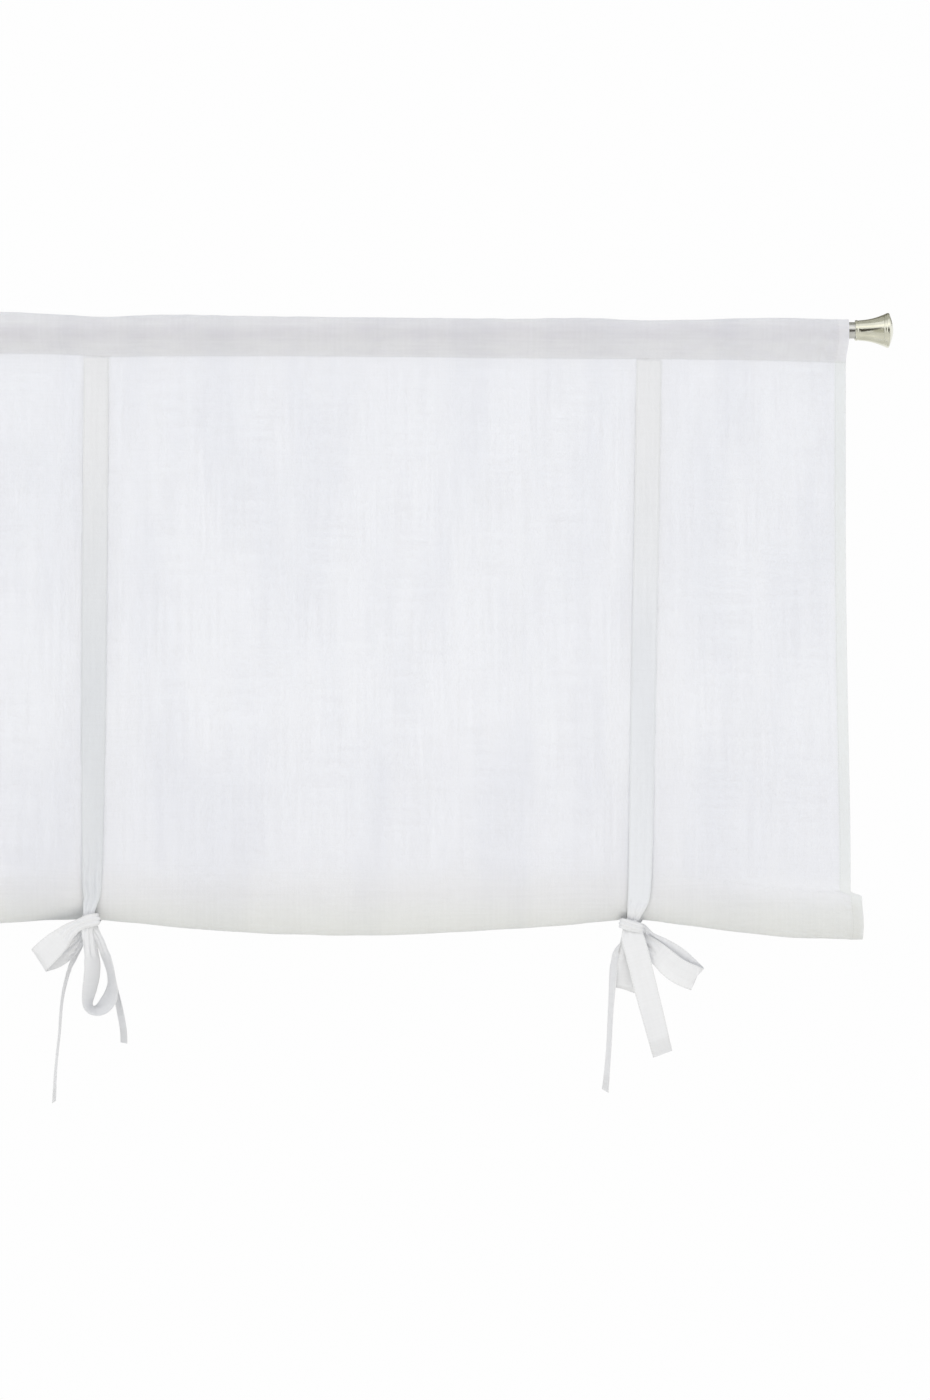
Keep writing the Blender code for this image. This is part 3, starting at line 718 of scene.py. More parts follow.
def weave_group() -> bpy.types.NodeTree:
    """The plain weave with slubs.

    Each thread's height is the size of a sine across it, and warp and weft take turns on top by the sign of
    the product of the two sines. Slubs are noises drawn out along one thread direction.

    Returns:
        A group with Height, 0 to 1, and Slub, about 0.5 on plain cloth and more where threads thicken.
    """
    group, wiring, given, result = new_group(
        "plain_weave", {"Cloth": "vector", "Threads": PLAIN_THREADS}, ("Height", "Slub")
    )
    split = wiring.node("ShaderNodeSeparateXYZ")
    wiring.feed(given["Cloth"], split.inputs[0])
    turn = wiring.math("MULTIPLY", given["Threads"], np.pi)
    warp = wiring.math("SINE", wiring.math("MULTIPLY", split.outputs[0], turn))
    weft = wiring.math("SINE", wiring.math("MULTIPLY", split.outputs[1], turn))
    on_top = wiring.math("GREATER_THAN", wiring.math("MULTIPLY", warp, weft), 0.0)
    below = wiring.math("SUBTRACT", 1.0, on_top)
    height = wiring.math(
        "ADD",
        wiring.math("MULTIPLY", wiring.math("ABSOLUTE", warp), on_top),
        wiring.math("MULTIPLY", wiring.math("ABSOLUTE", weft), below),
    )
    upright = wiring.noise(given["Cloth"], UPRIGHT_SLUB_WAVES, CLOTH_DETAIL)
    level = wiring.noise(given["Cloth"], LEVEL_SLUB_WAVES, CLOTH_DETAIL)
    slub = wiring.math("MULTIPLY", wiring.math("ADD", upright, level), 0.5)
    wiring.feed(height, result.inputs["Height"])
    wiring.feed(slub, result.inputs["Slub"])
    return group


def stitch_group() -> bpy.types.NodeTree:
    """A row of stitches.

    The mark is the product of two soft steps. One falls with the distance from the line and ends at the
    row's width, and the other rises with the sine along the line, so that most of each pitch is thread.

    Returns:
        A group with Stitch, 1 on the thread and 0 off it.
    """
    group, wiring, given, result = new_group(
        "stitch_row",
        {"Across": 0.0, "Along": 0.0, "Width": STITCH_WIDTH, "Pitch": STITCH_PITCH},
        ("Stitch",),
    )
    away = wiring.math("DIVIDE", wiring.math("ABSOLUTE", given["Across"]), given["Width"])
    line = wiring.ramp(away, *STITCH_EDGE, 1.0, 0.0)
    turn = wiring.math("DIVIDE", wiring.math("MULTIPLY", given["Along"], 2 * np.pi), given["Pitch"])
    dash = wiring.ramp(wiring.math("SINE", turn), *STITCH_HOLE)
    wiring.feed(wiring.math("MULTIPLY", line, dash), result.inputs["Stitch"])
    return group


@dataclass(frozen=True)
class ClothFinish:
    """A sheer woven cloth: light reflected, light let through and the open weave.

    Colours are linear, and a tint is a colour that the cloth is multiplied by. A pair of numbers is a range
    over which an effect comes or goes: along or across the flat cloth, or up or across the object, in
    metres, or else of a noise. Waves are counted to the metre.
    """

    name: str
    thread_colour: tuple
    slub_colour: tuple
    hem_tone_and_shade: tuple
    cloud_colour: tuple
    through_colour: tuple
    threads: float
    openness: float
    glow: float
    hem_line: float
    seam_line: bool
    header_rod_shade_and_mottle: tuple | None
    rolled_painted_shade: tuple | None
    end_painted_shade: tuple | None
    low_painted_shade: tuple | None
    strap_painted_shades: tuple | None
    slub_range: tuple = (0.4, 0.66)
    hem_blend: float = 0.0002
    hem_share: float = 0.8
    hem_closed: float = 0.85
    seam_range: tuple = (-0.003, 0.0)
    stitch_inset: float = 0.0008
    stitch_tint: tuple = (0.8, 0.8, 0.8)
    stitch_share: float = 0.5
    stitch_relief: float = 2.0
    cloud_waves: tuple = (15.0, 3.2, 1.0)
    cloud_range: tuple = (0.42, 0.64)
    patch_waves: tuple = (26.0, 105.0, 1.0)
    patch_range: tuple = (0.42, 0.62)
    # Where the painted shade of the rod comes and goes, in height above its axis
    rod_rise: tuple = (-0.017, -0.004)
    rod_fall: tuple = (0.0, 0.009)
    rolled_range: tuple = (0.555, 0.595)
    rolled_hem_painted_shade: tuple = (0.955, 0.94, 0.965)
    low_rise: tuple = (0.36, 0.46)
    low_fall: tuple = (0.53, 0.555)
    # Where the straps' painted shade comes and goes, in height and across the object
    strap_top: tuple = (-0.38, -0.06)
    strap_foot: tuple = (-0.612, -0.6)
    strap_sides: tuple = (-0.1, 0.1)
    end_shade_range: tuple = (0.013, 0.019)
    thick_thread: float = 1.5
    opening_scale: float = 2.0
    slub_relief: float = 0.8
    bump_strength: float = 0.5
    weave_depth: float = 0.00012
    roughness: float = 0.9
    gloss: float = 0.15
    sheen: float = 0.1
    sheen_roughness: float = 0.5

    def build(self, weave: bpy.types.NodeTree, stitch: bpy.types.NodeTree) -> bpy.types.Material:
        """Wires the material.

        Args:
            weave: the plain weave group.
            stitch: the stitch row group.

        Returns:
            A Principled shader mixed with light let through, whose Alpha opens between the threads.
        """
        material = bpy.data.materials.new(self.name)
        material.use_nodes = True
        wiring = Wiring(material.node_tree)
        shader = material.node_tree.nodes["Principled BSDF"]
        cloth = wiring.node("ShaderNodeUVMap", uv_map=UV_NAME).outputs[0]
        split = wiring.node("ShaderNodeSeparateXYZ")
        wiring.feed(cloth, split.inputs[0])
        across, along = split.outputs[0], split.outputs[1]

        threads = wiring.node("ShaderNodeGroup", node_tree=weave)
        wiring.feed(cloth, threads.inputs["Cloth"])
        threads.inputs["Threads"].default_value = self.threads
        height = threads.outputs["Height"]
        slub = wiring.ramp(threads.outputs["Slub"], *self.slub_range)
        from_hem = wiring.math("SUBTRACT", wiring.math("ABSOLUTE", across), self.hem_line)
        hem = wiring.ramp(from_hem, -self.hem_blend, self.hem_blend)
        sewn = self.stitching(wiring, stitch, (across, along), from_hem)

        colour = self.tones(wiring, cloth, along, slub, hem)
        marked = wiring.darken(colour, wiring.math("MULTIPLY", sewn, self.stitch_share), self.stitch_tint)
        wiring.feed(marked, shader.inputs["Base Color"])
        wiring.feed(self.cover(wiring, height, slub, hem), shader.inputs["Alpha"])
        relief = wiring.math("ADD", height, wiring.math("MULTIPLY", slub, self.slub_relief))
        relief = wiring.math("SUBTRACT", relief, wiring.math("MULTIPLY", sewn, self.stitch_relief))
        bump = wiring.node("ShaderNodeBump")
        bump.inputs["Strength"].default_value = self.bump_strength
        bump.inputs["Distance"].default_value = self.weave_depth
        wiring.feed(relief, bump.inputs["Height"])
        wiring.feed(bump.outputs[0], shader.inputs["Normal"])
        shader.inputs["Roughness"].default_value = self.roughness
        shader.inputs["Specular IOR Level"].default_value = self.gloss
        shader.inputs["Sheen Weight"].default_value = self.sheen
        shader.inputs["Sheen Roughness"].default_value = self.sheen_roughness

        through = wiring.node("ShaderNodeBsdfTranslucent")
        through.inputs["Color"].default_value = (*self.through_colour, 1.0)
        mixed = wiring.node("ShaderNodeMixShader")
        mixed.inputs[0].default_value = self.glow
        wiring.feed(shader.outputs[0], mixed.inputs[1])
        wiring.feed(through.outputs[0], mixed.inputs[2])
        out = material.node_tree.nodes["Material Output"]
        wiring.feed(mixed.outputs[0], out.inputs["Surface"])
        return material

    def stitching(
        self, wiring: Wiring, stitch: bpy.types.NodeTree, place: tuple, from_hem: bpy.types.NodeSocket
    ) -> bpy.types.NodeSocket:
        """Sews a row beside each hem's inner edge and, on a piece that has one, along the seam.

        Args:
            wiring: the material's wiring.
            stitch: the stitch row group.
            place: the flat cloth's own coordinates, across and along.
            from_hem: how far a place lies past the hem's inner edge.

        Returns:
            The greater of the rows' marks.
        """
        across, along = place
        hem_row = wiring.node("ShaderNodeGroup", node_tree=stitch)
        wiring.feed(wiring.math("SUBTRACT", from_hem, self.stitch_inset), hem_row.inputs["Across"])
        wiring.feed(along, hem_row.inputs["Along"])
        sewn = hem_row.outputs["Stitch"]
        if self.seam_line:
            seam_row = wiring.node("ShaderNodeGroup", node_tree=stitch)
            wiring.feed(along, seam_row.inputs["Across"])
            wiring.feed(across, seam_row.inputs["Along"])
            sewn = wiring.math("MAXIMUM", sewn, seam_row.outputs["Stitch"])
        return sewn

    def tones(
        self,
        wiring: Wiring,
        cloth: bpy.types.NodeSocket,
        along: bpy.types.NodeSocket,
        slub: bpy.types.NodeSocket,
        hem: bpy.types.NodeSocket,
    ) -> bpy.types.NodeSocket:
        """Lays the cloth's colours, tints and painted shades over one another.

        Args:
            wiring: the material's wiring.
            cloth: the flat cloth's own coordinates.
            along: how far along the cloth a place lies from the seam, or from a tape's end.
            slub: 1 on thick threads.
            hem: 1 on the hems.

        Returns:
            The colour without the stitches.
        """
        body = wiring.mix(slub, self.thread_colour, self.slub_colour)
        hem_share = wiring.math("MULTIPLY", hem, self.hem_share)
        if self.header_rod_shade_and_mottle:
            hem_share = wiring.math("MULTIPLY", hem_share, wiring.ramp(along, *self.seam_range))
        # The hems' greener, darker colour is partly the doubled cloth's own tone and partly painted shade
        # where the double layer holds back the light from behind.
        colour = wiring.mix(hem_share, body, self.hem_tone_and_shade)
        clouds = wiring.ramp(wiring.noise(cloth, self.cloud_waves, CLOTH_DETAIL), *self.cloud_range)
        colour = wiring.darken(colour, clouds, self.cloud_colour)
        if self.header_rod_shade_and_mottle:
            rod_painted_shade, patchy = self.header_rod_shade_and_mottle
            # Painted shade: a darker band on the pocket where the rod lies behind the cloth; the patches are
            # random mottle above the seam.
            colour = wiring.darken(colour, self.rod_painted_shade(wiring), rod_painted_shade)
            patches = wiring.ramp(wiring.noise(cloth, self.patch_waves, CLOTH_DETAIL), *self.patch_range)
            above_seam = wiring.ramp(along, *self.seam_range, 1.0, 0.0)
            colour = wiring.darken(colour, wiring.math("MULTIPLY", patches, above_seam), patchy)
        if self.rolled_painted_shade:
            # Painted shade: the rolled part is tinted warmer and a little darker for the shade under the
            # roll, and its hems at the roll's ends darker still.
            rolled = wiring.ramp(along, *self.rolled_range)
            colour = wiring.darken(colour, rolled, self.rolled_painted_shade)
            colour = wiring.darken(colour, wiring.math("MULTIPLY", rolled, hem), self.rolled_hem_painted_shade)
        if self.low_painted_shade:
            # Painted shade: the sheet darkens a little in a band above the roll.
            begun = wiring.ramp(along, *self.low_rise)
            low = wiring.math("MULTIPLY", begun, wiring.ramp(along, *self.low_fall, 1.0, 0.0))
            colour = wiring.darken(colour, low, self.low_painted_shade)
        if self.strap_painted_shades:
            colour = self.strap(wiring, colour)
        if self.end_painted_shade:
            # Painted shade: the last few centimetres of each tape are darker, for a doubled end that lets
            # less light through.
            colour = wiring.darken(colour, wiring.ramp(along, *self.end_shade_range, 1.0, 0.0), self.end_painted_shade)
        return colour

    def cover(
        self,
        wiring: Wiring,
        height: bpy.types.NodeSocket,
        slub: bpy.types.NodeSocket,
        hem: bpy.types.NodeSocket,
    ) -> bpy.types.NodeSocket:
        """How much of a place the threads cover.

        It is 1 less the product of the depth between threads, their thinness, the openness and what a hem's
        second layer leaves open.

        Args:
            wiring: the material's wiring.
            height: the threads' height.
            slub: 1 on thick threads.
            hem: 1 on the hems.

        Returns:
            The cover, clamped to 0 and 1.
        """
        gaps = wiring.math("SUBTRACT", 1.0, height)
        thin = wiring.math("MULTIPLY", gaps, wiring.math("SUBTRACT", self.thick_thread, slub))
        wide = wiring.math("MULTIPLY", thin, self.openness * self.opening_scale)
        left_open = wiring.math("SUBTRACT", 1.0, wiring.math("MULTIPLY", hem, self.hem_closed))
        return wiring.math("SUBTRACT", 1.0, wiring.math("MULTIPLY", wide, left_open), clamp=True)

    def strap(self, wiring: Wiring, colour: bpy.types.NodeSocket) -> bpy.types.NodeSocket:
        """Paints shade on the hanging straps from under the header down to the knot, each side by its own
        tint, the left one darker.

        Args:
            wiring: the material's wiring.
            colour: the tape's colour.

        Returns:
            The tinted colour.
        """
        across, _, height = wiring.place()
        lower = wiring.ramp(height, *self.strap_top, 1.0, 0.0)
        share = wiring.math("MULTIPLY", lower, wiring.ramp(height, *self.strap_foot))
        on_left = wiring.ramp(across, *self.strap_sides, 1.0, 0.0)
        on_right = wiring.math("SUBTRACT", 1.0, on_left)
        for side, tint in zip((on_left, on_right), self.strap_painted_shades):
            colour = wiring.darken(colour, wiring.math("MULTIPLY", share, side), tint)
        return colour

    def rod_painted_shade(self, wiring: Wiring) -> bpy.types.NodeSocket:
        """1 where the rod lies behind the cloth, which there gets painted shade: a rise times a fall of the
        height above the rod's axis.
        """
        height = wiring.place()[2]
        rise, fall = wiring.ramp(height, *self.rod_rise), wiring.ramp(height, *self.rod_fall, 1.0, 0.0)
        return wiring.math("MULTIPLY", rise, fall)


@dataclass(frozen=True)
class MetalFinish:
    """Polished or drawn metal with fine turned marks round the axis."""

    name: str
    light: tuple
    dark: tuple
    roughness: float
    smoother: float = 0.03
    rougher: float = 0.05
    noise_range: tuple = (0.3, 0.7)
    mark_waves: tuple = (5200.0, 60.0, 60.0)
    mark_detail: float = 2.0
    mark_depth: float = 0.00005
    bump_strength: float = 0.08
    cloud_waves: tuple = (90.0, 120.0, 120.0)
    cloud_detail: float = 3.0

    def build(self) -> bpy.types.Material:
        """Wires the material on Object coordinates, whose X runs along the rod.

        Returns:
            A metallic Principled shader, its colour and roughness uneven by noise.
        """
        material = bpy.data.materials.new(self.name)
        material.use_nodes = True
        wiring = Wiring(material.node_tree)
        shader = material.node_tree.nodes["Principled BSDF"]
        place = wiring.node("ShaderNodeTexCoord").outputs["Object"]
        marks = wiring.noise(place, self.mark_waves, self.mark_detail)
        clouds = wiring.noise(place, self.cloud_waves, self.cloud_detail)
        colour = wiring.mix(wiring.ramp(clouds, *self.noise_range), self.dark, self.light)
        wiring.feed(colour, shader.inputs["Base Color"])
        shader.inputs["Metallic"].default_value = 1.0
        smooth, rough = self.roughness - self.smoother, self.roughness + self.rougher
        wiring.feed(wiring.ramp(marks, *self.noise_range, smooth, rough), shader.inputs["Roughness"])
        bump = wiring.node("ShaderNodeBump")
        bump.inputs["Strength"].default_value = self.bump_strength
        bump.inputs["Distance"].default_value = self.mark_depth
        wiring.feed(marks, bump.inputs["Height"])
        wiring.feed(bump.outputs[0], shader.inputs["Normal"])
        return material


# The curtain


@dataclass(frozen=True)
class ClothRelief:
    """Fine folds, puckers and wrinkles of the panel, as heights towards the cloth's outer side.

    Lengths are millimetres: x lies across the flat cloth from its middle and v along it from the seam. A
    pair of numbers is where a soft step starts and ends, a groove is its depth and half width, and the nick
    has a place and a half width each way, the one along the cloth from the roll's start.
    """

    half_width: float
    hem_width: float
    tie_places: tuple
    tie_reach: float = 26.0
    pocket_fade: tuple = (2.0, 10.0)
    swells_faded: float = 0.7
    swells_fade: tuple = (28.0, 40.0)
    wrinkles_fade: tuple = (24.0, 34.0)
    seam_reach: float = 9.0
    seam_groove: tuple = (0.35, 1.4)
    sheet_rise: tuple = (4.0, 60.0)
    sheet_fall: float = 60.0
    fold_fade: float = 80.0
    fold_wander: float = 3.0
    fold_wander_scale: float = 70.0
    hem_pucker_width: float = 5.0
    hem_groove: tuple = (0.25, 1.6)
    hem_groove_inset: float = 0.5
    roll_fade: tuple = (-30.0, 20.0)
    draw_height: float = 0.55
    draw_along: float = 24.0
    draw_across: float = 70.0
    draw_reach: float = 34.0
    draw_fade: tuple = (6.0, 16.0)
    nick_depth: float = 0.6
    nick_across: tuple = (-362.0, 16.0)
    nick_along: tuple = (3.0, 2.4)

    def read(self, x: np.ndarray, v: np.ndarray, roll_start: float) -> np.ndarray:
        """Adds the heights of the header, the sheet, the hems and the roll.

        Args:
            x: places across the flat cloth.
            v: places along it.
            roll_start: where along it the roll begins.

        Returns:
            The heights.
        """
        hanging = self.header(x, v) + self.sheet(x, v, roll_start)
        return hanging + self.hems(x, v) + self.roll(x, v, roll_start)

    def header(self, x: np.ndarray, v: np.ndarray) -> np.ndarray:
        """The pocket's swells and wrinkles, which fade towards its top, and its single puckers.

        Args:
            x: places across the flat cloth.
            v: places along it.

        Returns:
            The heights. Each pucker is a bell across its slanted line times a bell along the cloth.
        """
        height = HEADER_SWELLS.read(x, v) * (1 - self.swells_faded * smooth_step(-v, *self.swells_fade))
        height += HEADER_WRINKLES.read(x, v) * (1 - smooth_step(-v, *self.wrinkles_fade))
        for rise, place, half, slant, level, reach in HEADER_PUCKERS:
            height += rise * hump(x - slant * v, place, half) * hump(v, level, reach)
        return smooth_step(-v, *self.pocket_fade) * height

    def sheet(self, x: np.ndarray, v: np.ndarray, roll_start: float) -> np.ndarray:
        """The hanging sheet's swells, wrinkles and sharp folds, with the seam's puckers and groove.

        Args:
            x: places across the flat cloth.
            v: places along it.
            roll_start: where along it the roll begins.

        Returns:
            The heights. Swells, wrinkles and puckers die away beside the ties.
        """
        free = 1 - sum(hump(x, place, self.tie_reach) for place in self.tie_places)
        hanging = smooth_step(v, *self.sheet_rise) * smooth_step(roll_start - v, 0, self.sheet_fall)
        height = free * hanging * (SHEET_SWELLS.read(x, v) + SHEET_WRINKLES.read(x, v))
        height += free * np.exp(-np.abs(v) / self.seam_reach) * SEAM_PUCKERS.read(x, v)
        groove, groove_half = self.seam_groove
        height -= groove * hump(v, 0, groove_half)
        wander = self.fold_wander * np.sin(v / self.fold_wander_scale)
        for place, half, rise, start, end in SHARP_FOLDS:
            fade = smooth_step(v - start, 0, self.fold_fade) * smooth_step(end - v, 0, self.fold_fade)
            height += rise * fade * hump(x + wander, place, half)
        return height

    def hems(self, x: np.ndarray, v: np.ndarray) -> np.ndarray:
        """The puckers and the groove along the side hems' inner edge.

        Args:
            x: places across the flat cloth.
            v: places along it.

        Returns:
            The heights.
        """
        edge = self.half_width - np.abs(x)
        groove, groove_half = self.hem_groove
        puckers = hump(edge, self.hem_width, self.hem_pucker_width) * HEM_PUCKERS.read(v, x)
        return puckers - groove * hump(edge, self.hem_width - self.hem_groove_inset, groove_half)

    def roll(self, x: np.ndarray, v: np.ndarray, roll_start: float) -> np.ndarray:
        """The roll's wrinkles, the creases that each tie draws and one nick in its first turn.

        Args:
            x: places across the flat cloth.
            v: places along it.
            roll_start: where along it the roll begins.

        Returns:
            The heights. A tie's creases are a cosine of the way along and away from it, and they die away
            by e to the power of minus the distance over their reach.
        """
        height = ROLL_WRINKLES.read(x, v)
        for place in self.tie_places:
            away = np.abs(x - place)
            turns = (v - roll_start) / self.draw_along + away / self.draw_across
            draw = self.draw_height * np.cos(2 * np.pi * turns) * np.exp(-away / self.draw_reach)
            height += smooth_step(away, *self.draw_fade) * draw
        nick = self.nick_depth * hump(x, *self.nick_across) * hump(v - roll_start, *self.nick_along)
        return smooth_step(v - roll_start, *self.roll_fade) * height - nick


@dataclass
class CurtainPanel:
    """The cloth: a pocket on the rod, the hanging sheet and the rolled lower part.

    Lengths are millimetres and angles degrees round the roll, 0 where the sheet meets it. A pair of numbers
    is where a soft step starts and ends, but for the two ties' places.
    """

    name: str = "linen_panel"
    half_width: float = 500.0
    cloth: float = 1.2
    thickness: float = 0.55
    hem_width: float = 12.0
    hem_thickness: float = 1.3
    hem_columns: int = 4
    layer_gap: float = 0.05
    rod_wide_radius: float = 9.5
    rod_slim_radius: float = 8.65
    rod_wide_right: float = 247.0
    rod_narrows: tuple = (40.0, 90.0)
    rod_clearance: float = 0.8
    pocket_drop_power: float = 1.5
    pocket_end_narrows: tuple = (0.25, 1.0)
    seam_height: float = 2.0
    fold_rise: float = 0.25
    fold_fall: float = 0.2
    roll_pitch_share: float = 0.105
    roll_last_pitch: float = 1.5
    roll_even_turns: float = 2.0
    roll_pitch_power: float = 1.5
    roll_end_angle: float = 1170.0
    roll_slide: float = 13.6
    slide_right_end: tuple = (200.0, 480.0)
    slide_first_share: float = 0.86
    slide_first: tuple = (-65.0, -53.0)
    slide_second: tuple = (-53.0, 14.0)
    slide_back_share: float = 0.16
    slide_back: tuple = (120.0, 260.0)
    slide_elsewhere: tuple = (120.0, 300.0)
    sheet_degrees: float = 1350.0
    tie_places: tuple = (-289.0, 286.0)
    columns: int = 200
    pocket_rows: int = 12
    arc_rows: int = 12
    sheet_rows: int = 92
    fine_rows: int = 26
    fine_drop: float = 0.93
    roll_rows: int = 84

    def header(self, x: np.ndarray) -> tuple:
        """The pocket's top and seam levels at x."""
        return table_curve(HEADER, 1, x) - self.cloth / 2, table_curve(HEADER, 2, x)

    def pocket_half_depth(self, x: np.ndarray) -> np.ndarray:
        """Half the pocket's depth round the rod, narrower past the wide tube's end."""
        narrowed = smooth_step(x - self.rod_wide_right, *self.rod_narrows)
        radius = self.rod_wide_radius + (self.rod_slim_radius - self.rod_wide_radius) * narrowed
        return radius + self.rod_clearance + self.cloth / 2

    def pocket_wall(self, x: np.ndarray, share: np.ndarray) -> np.ndarray:
        """Depth of the pocket's wall at a share of the way from the rod's level to the seam.

        Args:
            x: places across the cloth.
            share: 0 at the rod's level and 1 at the seam.

        Returns:
            The half depth, less its closing in by the share to the power of the pocket's drop.
        """
        close = self.thickness / 2 + self.layer_gap
        return close + (self.pocket_half_depth(x) - close) * (1 - share**self.pocket_drop_power)

    def fold_depth(self, x: np.ndarray, drop: np.ndarray) -> np.ndarray:
        """The soft upright folds of the sheet.

        Args:
            x: places across the cloth.
            drop: shares of the way from the seam to the roll's middle.

        Returns:
            The sum over folds of depth times a bell across and a rise and fall down.
        """
        place, half, depth, start, end, lean = SOFT_FOLDS.T[:, :, None, None].astype(float)
        begun = smooth_step((drop - start) / self.fold_rise, 0, 1)
        rise = begun * smooth_step((end - drop) / self.fold_fall, 0, 1)
        bells = np.exp(-(((x - place - lean * (drop - 0.5)) / half) ** 2))
        return -np.sum(depth * rise * bells, axis=0)

    def sheet(self, x: np.ndarray, drop: np.ndarray) -> tuple:
        """Depth and level of the hanging sheet.

        Args:
            x: places across the cloth.
            drop: shares of the way from the seam to the roll's middle.

        Returns:
            The depth, which grows evenly to the roll's half depth and carries the folds, and the level.
        """
        start = self.header(x)[1] - self.seam_height
        half_depth, middle = self.roll_size(x)[1:]
        close = self.thickness / 2 + self.layer_gap
        depth = -(close + (half_depth - close) * drop) + self.fold_depth(x, drop)
        return depth, start + (middle - start) * drop

    def roll_size(self, x: np.ndarray) -> tuple:
        """The roll's half height, half depth and middle level at x."""
        half_height = table_curve(ROLL, 2, x) / 2 - self.cloth / 2
        half_depth = table_curve(ROLL, 3, x) / 2 - self.cloth / 2
        return half_height, half_depth, table_curve(ROLL, 1, x) + self.cloth / 2 + half_height

    def roll(self, x: np.ndarray, angle: np.ndarray) -> tuple:
        """Depth and level of the roll.

        Args:
            x: places across the cloth.
            angle: how far round the roll.

        Returns:
            An oval whose half sizes close in by the pitch at each turn, and by more in its last turns.
        """
        x = x + self.slide(x, angle)
        half_height, half_depth, middle = self.roll_size(x)
        turns = angle / 360
        late = np.maximum(turns - self.roll_even_turns, 0.0) ** self.roll_pitch_power
        closed = self.roll_pitch_share * half_height * (turns + (self.roll_last_pitch - 1) * late)
        a = np.radians(angle)
        return -(half_depth - closed) * np.cos(a), middle - (half_height - closed) * np.sin(a)

    def slide(self, x: np.ndarray, angle: np.ndarray) -> np.ndarray:
        """How far the cloth has slid to +X by an angle.

        Args:
            x: places across the cloth.
            angle: how far round the roll, below 0 on the sheet above it.

        Returns:
            The slide. At the right end it comes in two steps before the roll and eases back inside it.
        """
        right = smooth_step(x, *self.slide_right_end)
        first = self.slide_first_share * smooth_step(angle, *self.slide_first)
        second = (1 - self.slide_first_share) * smooth_step(angle, *self.slide_second)
        back = self.slide_back_share * smooth_step(angle, *self.slide_back)
        elsewhere = smooth_step(angle, *self.slide_elsewhere)
        return self.roll_slide * ((1 - right) * elsewhere + right * (first + second - back))

    def grid(self) -> tuple:
        """Lays the whole cloth out.

        Returns:
            Points in millimetres, the flat cloth's coordinates in millimetres and the row of the seam.
        """
        hem = 1 - self.hem_width / self.half_width
        inner = np.linspace(-hem, hem, self.columns - 2 * (self.hem_columns - 1))
        side = np.linspace(hem, 1.0, self.hem_columns)[1:]
        share = np.concatenate([-side[::-1], inner, side])[None, :]
        x = share * self.half_width
        top, seam = self.header(x)
        down = np.linspace(0, 1, self.pocket_rows)[:, None]
        arc = np.linspace(0, np.pi, self.arc_rows + 2)[1:-1, None]
        upper = np.linspace(0, self.fine_drop, self.sheet_rows - self.fine_rows, endpoint=False)
        drop = np.concatenate([upper, np.linspace(self.fine_drop, 1, self.fine_rows)])[:, None]
        angle = np.linspace(0, self.roll_end_angle, self.roll_rows + 1)[1:, None]
        back = (self.pocket_wall(x, 1 - down), (1 - down) * seam)
        over = (self.pocket_half_depth(x) * np.cos(arc), top * np.sin(arc))
        front = (-self.pocket_wall(x, down), down * seam)
        parts = (back, over, front, self.sheet(x, drop), self.roll(x, angle))
        depth, level = (np.vstack(rows) for rows in zip(*parts))
        seam_row = 2 * self.pocket_rows + self.arc_rows - 1
        edge = table_curve(SIDE_EDGE, 1, drop)
        curve_in = (self.half_width - edge[0, 0]) * smooth_step(down, *self.pocket_end_narrows)
        pocket_ends = self.half_width - np.vstack([curve_in[::-1], 0 * arc, curve_in])
        last = np.full((self.roll_rows, 1), edge[-1, 0])
        reach = np.vstack([pocket_ends, edge, last])
        late = self.slide(x, (drop - 1) * self.sheet_degrees)
        slide = np.vstack([np.zeros((seam_row + 1, x.size)), late, self.slide(x, angle)])
        points = np.stack([share * reach + slide, depth, level], axis=-1)
        length = run_length(points)
        along = length - length[seam_row]
        cloth = np.stack([np.broadcast_to(x, along.shape), along], axis=-1)
        return points, cloth, seam_row

    def build(self, material: bpy.types.Material) -> bpy.types.Object:
        """Args:
            material: the linen.

        Returns:
            The dressed piece.
        """
        points, cloth, seam_row = self.grid()
        roll_start = float(np.median(cloth[seam_row + self.sheet_rows, :, 1]))
        outward = -surface_normals(points)
        relief = ClothRelief(self.half_width, self.hem_width, self.tie_places)
        points = points + outward * relief.read(cloth[..., 0], cloth[..., 1], roll_start)[..., None]
        piece = grid_object(self.name, points, cloth * MM)
        wall = thicken(piece, self.hem_thickness)
        group = piece.vertex_groups.new(name="hem")
        rows, columns = points.shape[:2]
        index = np.arange(rows * columns).reshape(rows, columns)
        hems = np.hstack([index[:, : self.hem_columns], index[:, -self.hem_columns :]])
        group.add(index[:, self.hem_columns : -self.hem_columns].ravel().tolist(), 0.0, "REPLACE")
        group.add(hems.ravel().tolist(), 1.0, "REPLACE")
        wall.vertex_group = group.name
        wall.thickness_vertex_group = self.thickness / self.hem_thickness
        settle(piece)
        piece.data.materials.append(material)
        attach(piece, BODY)
        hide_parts("curtain_panel")
        return piece


@dataclass(frozen=True)
class Strap:
    """How one tie's tapes reach their knot.

    It holds X at the seam and at the roll, the knot's centre, the width that the front tape has on the roll,
    the angle round the roll at which its own rows end and how much it is gathered above the roll.
    """

    seam_x: float
    roll_x: float
    knot: tuple
    roll_width: float
    front_end_angle: float
    early_gather: float


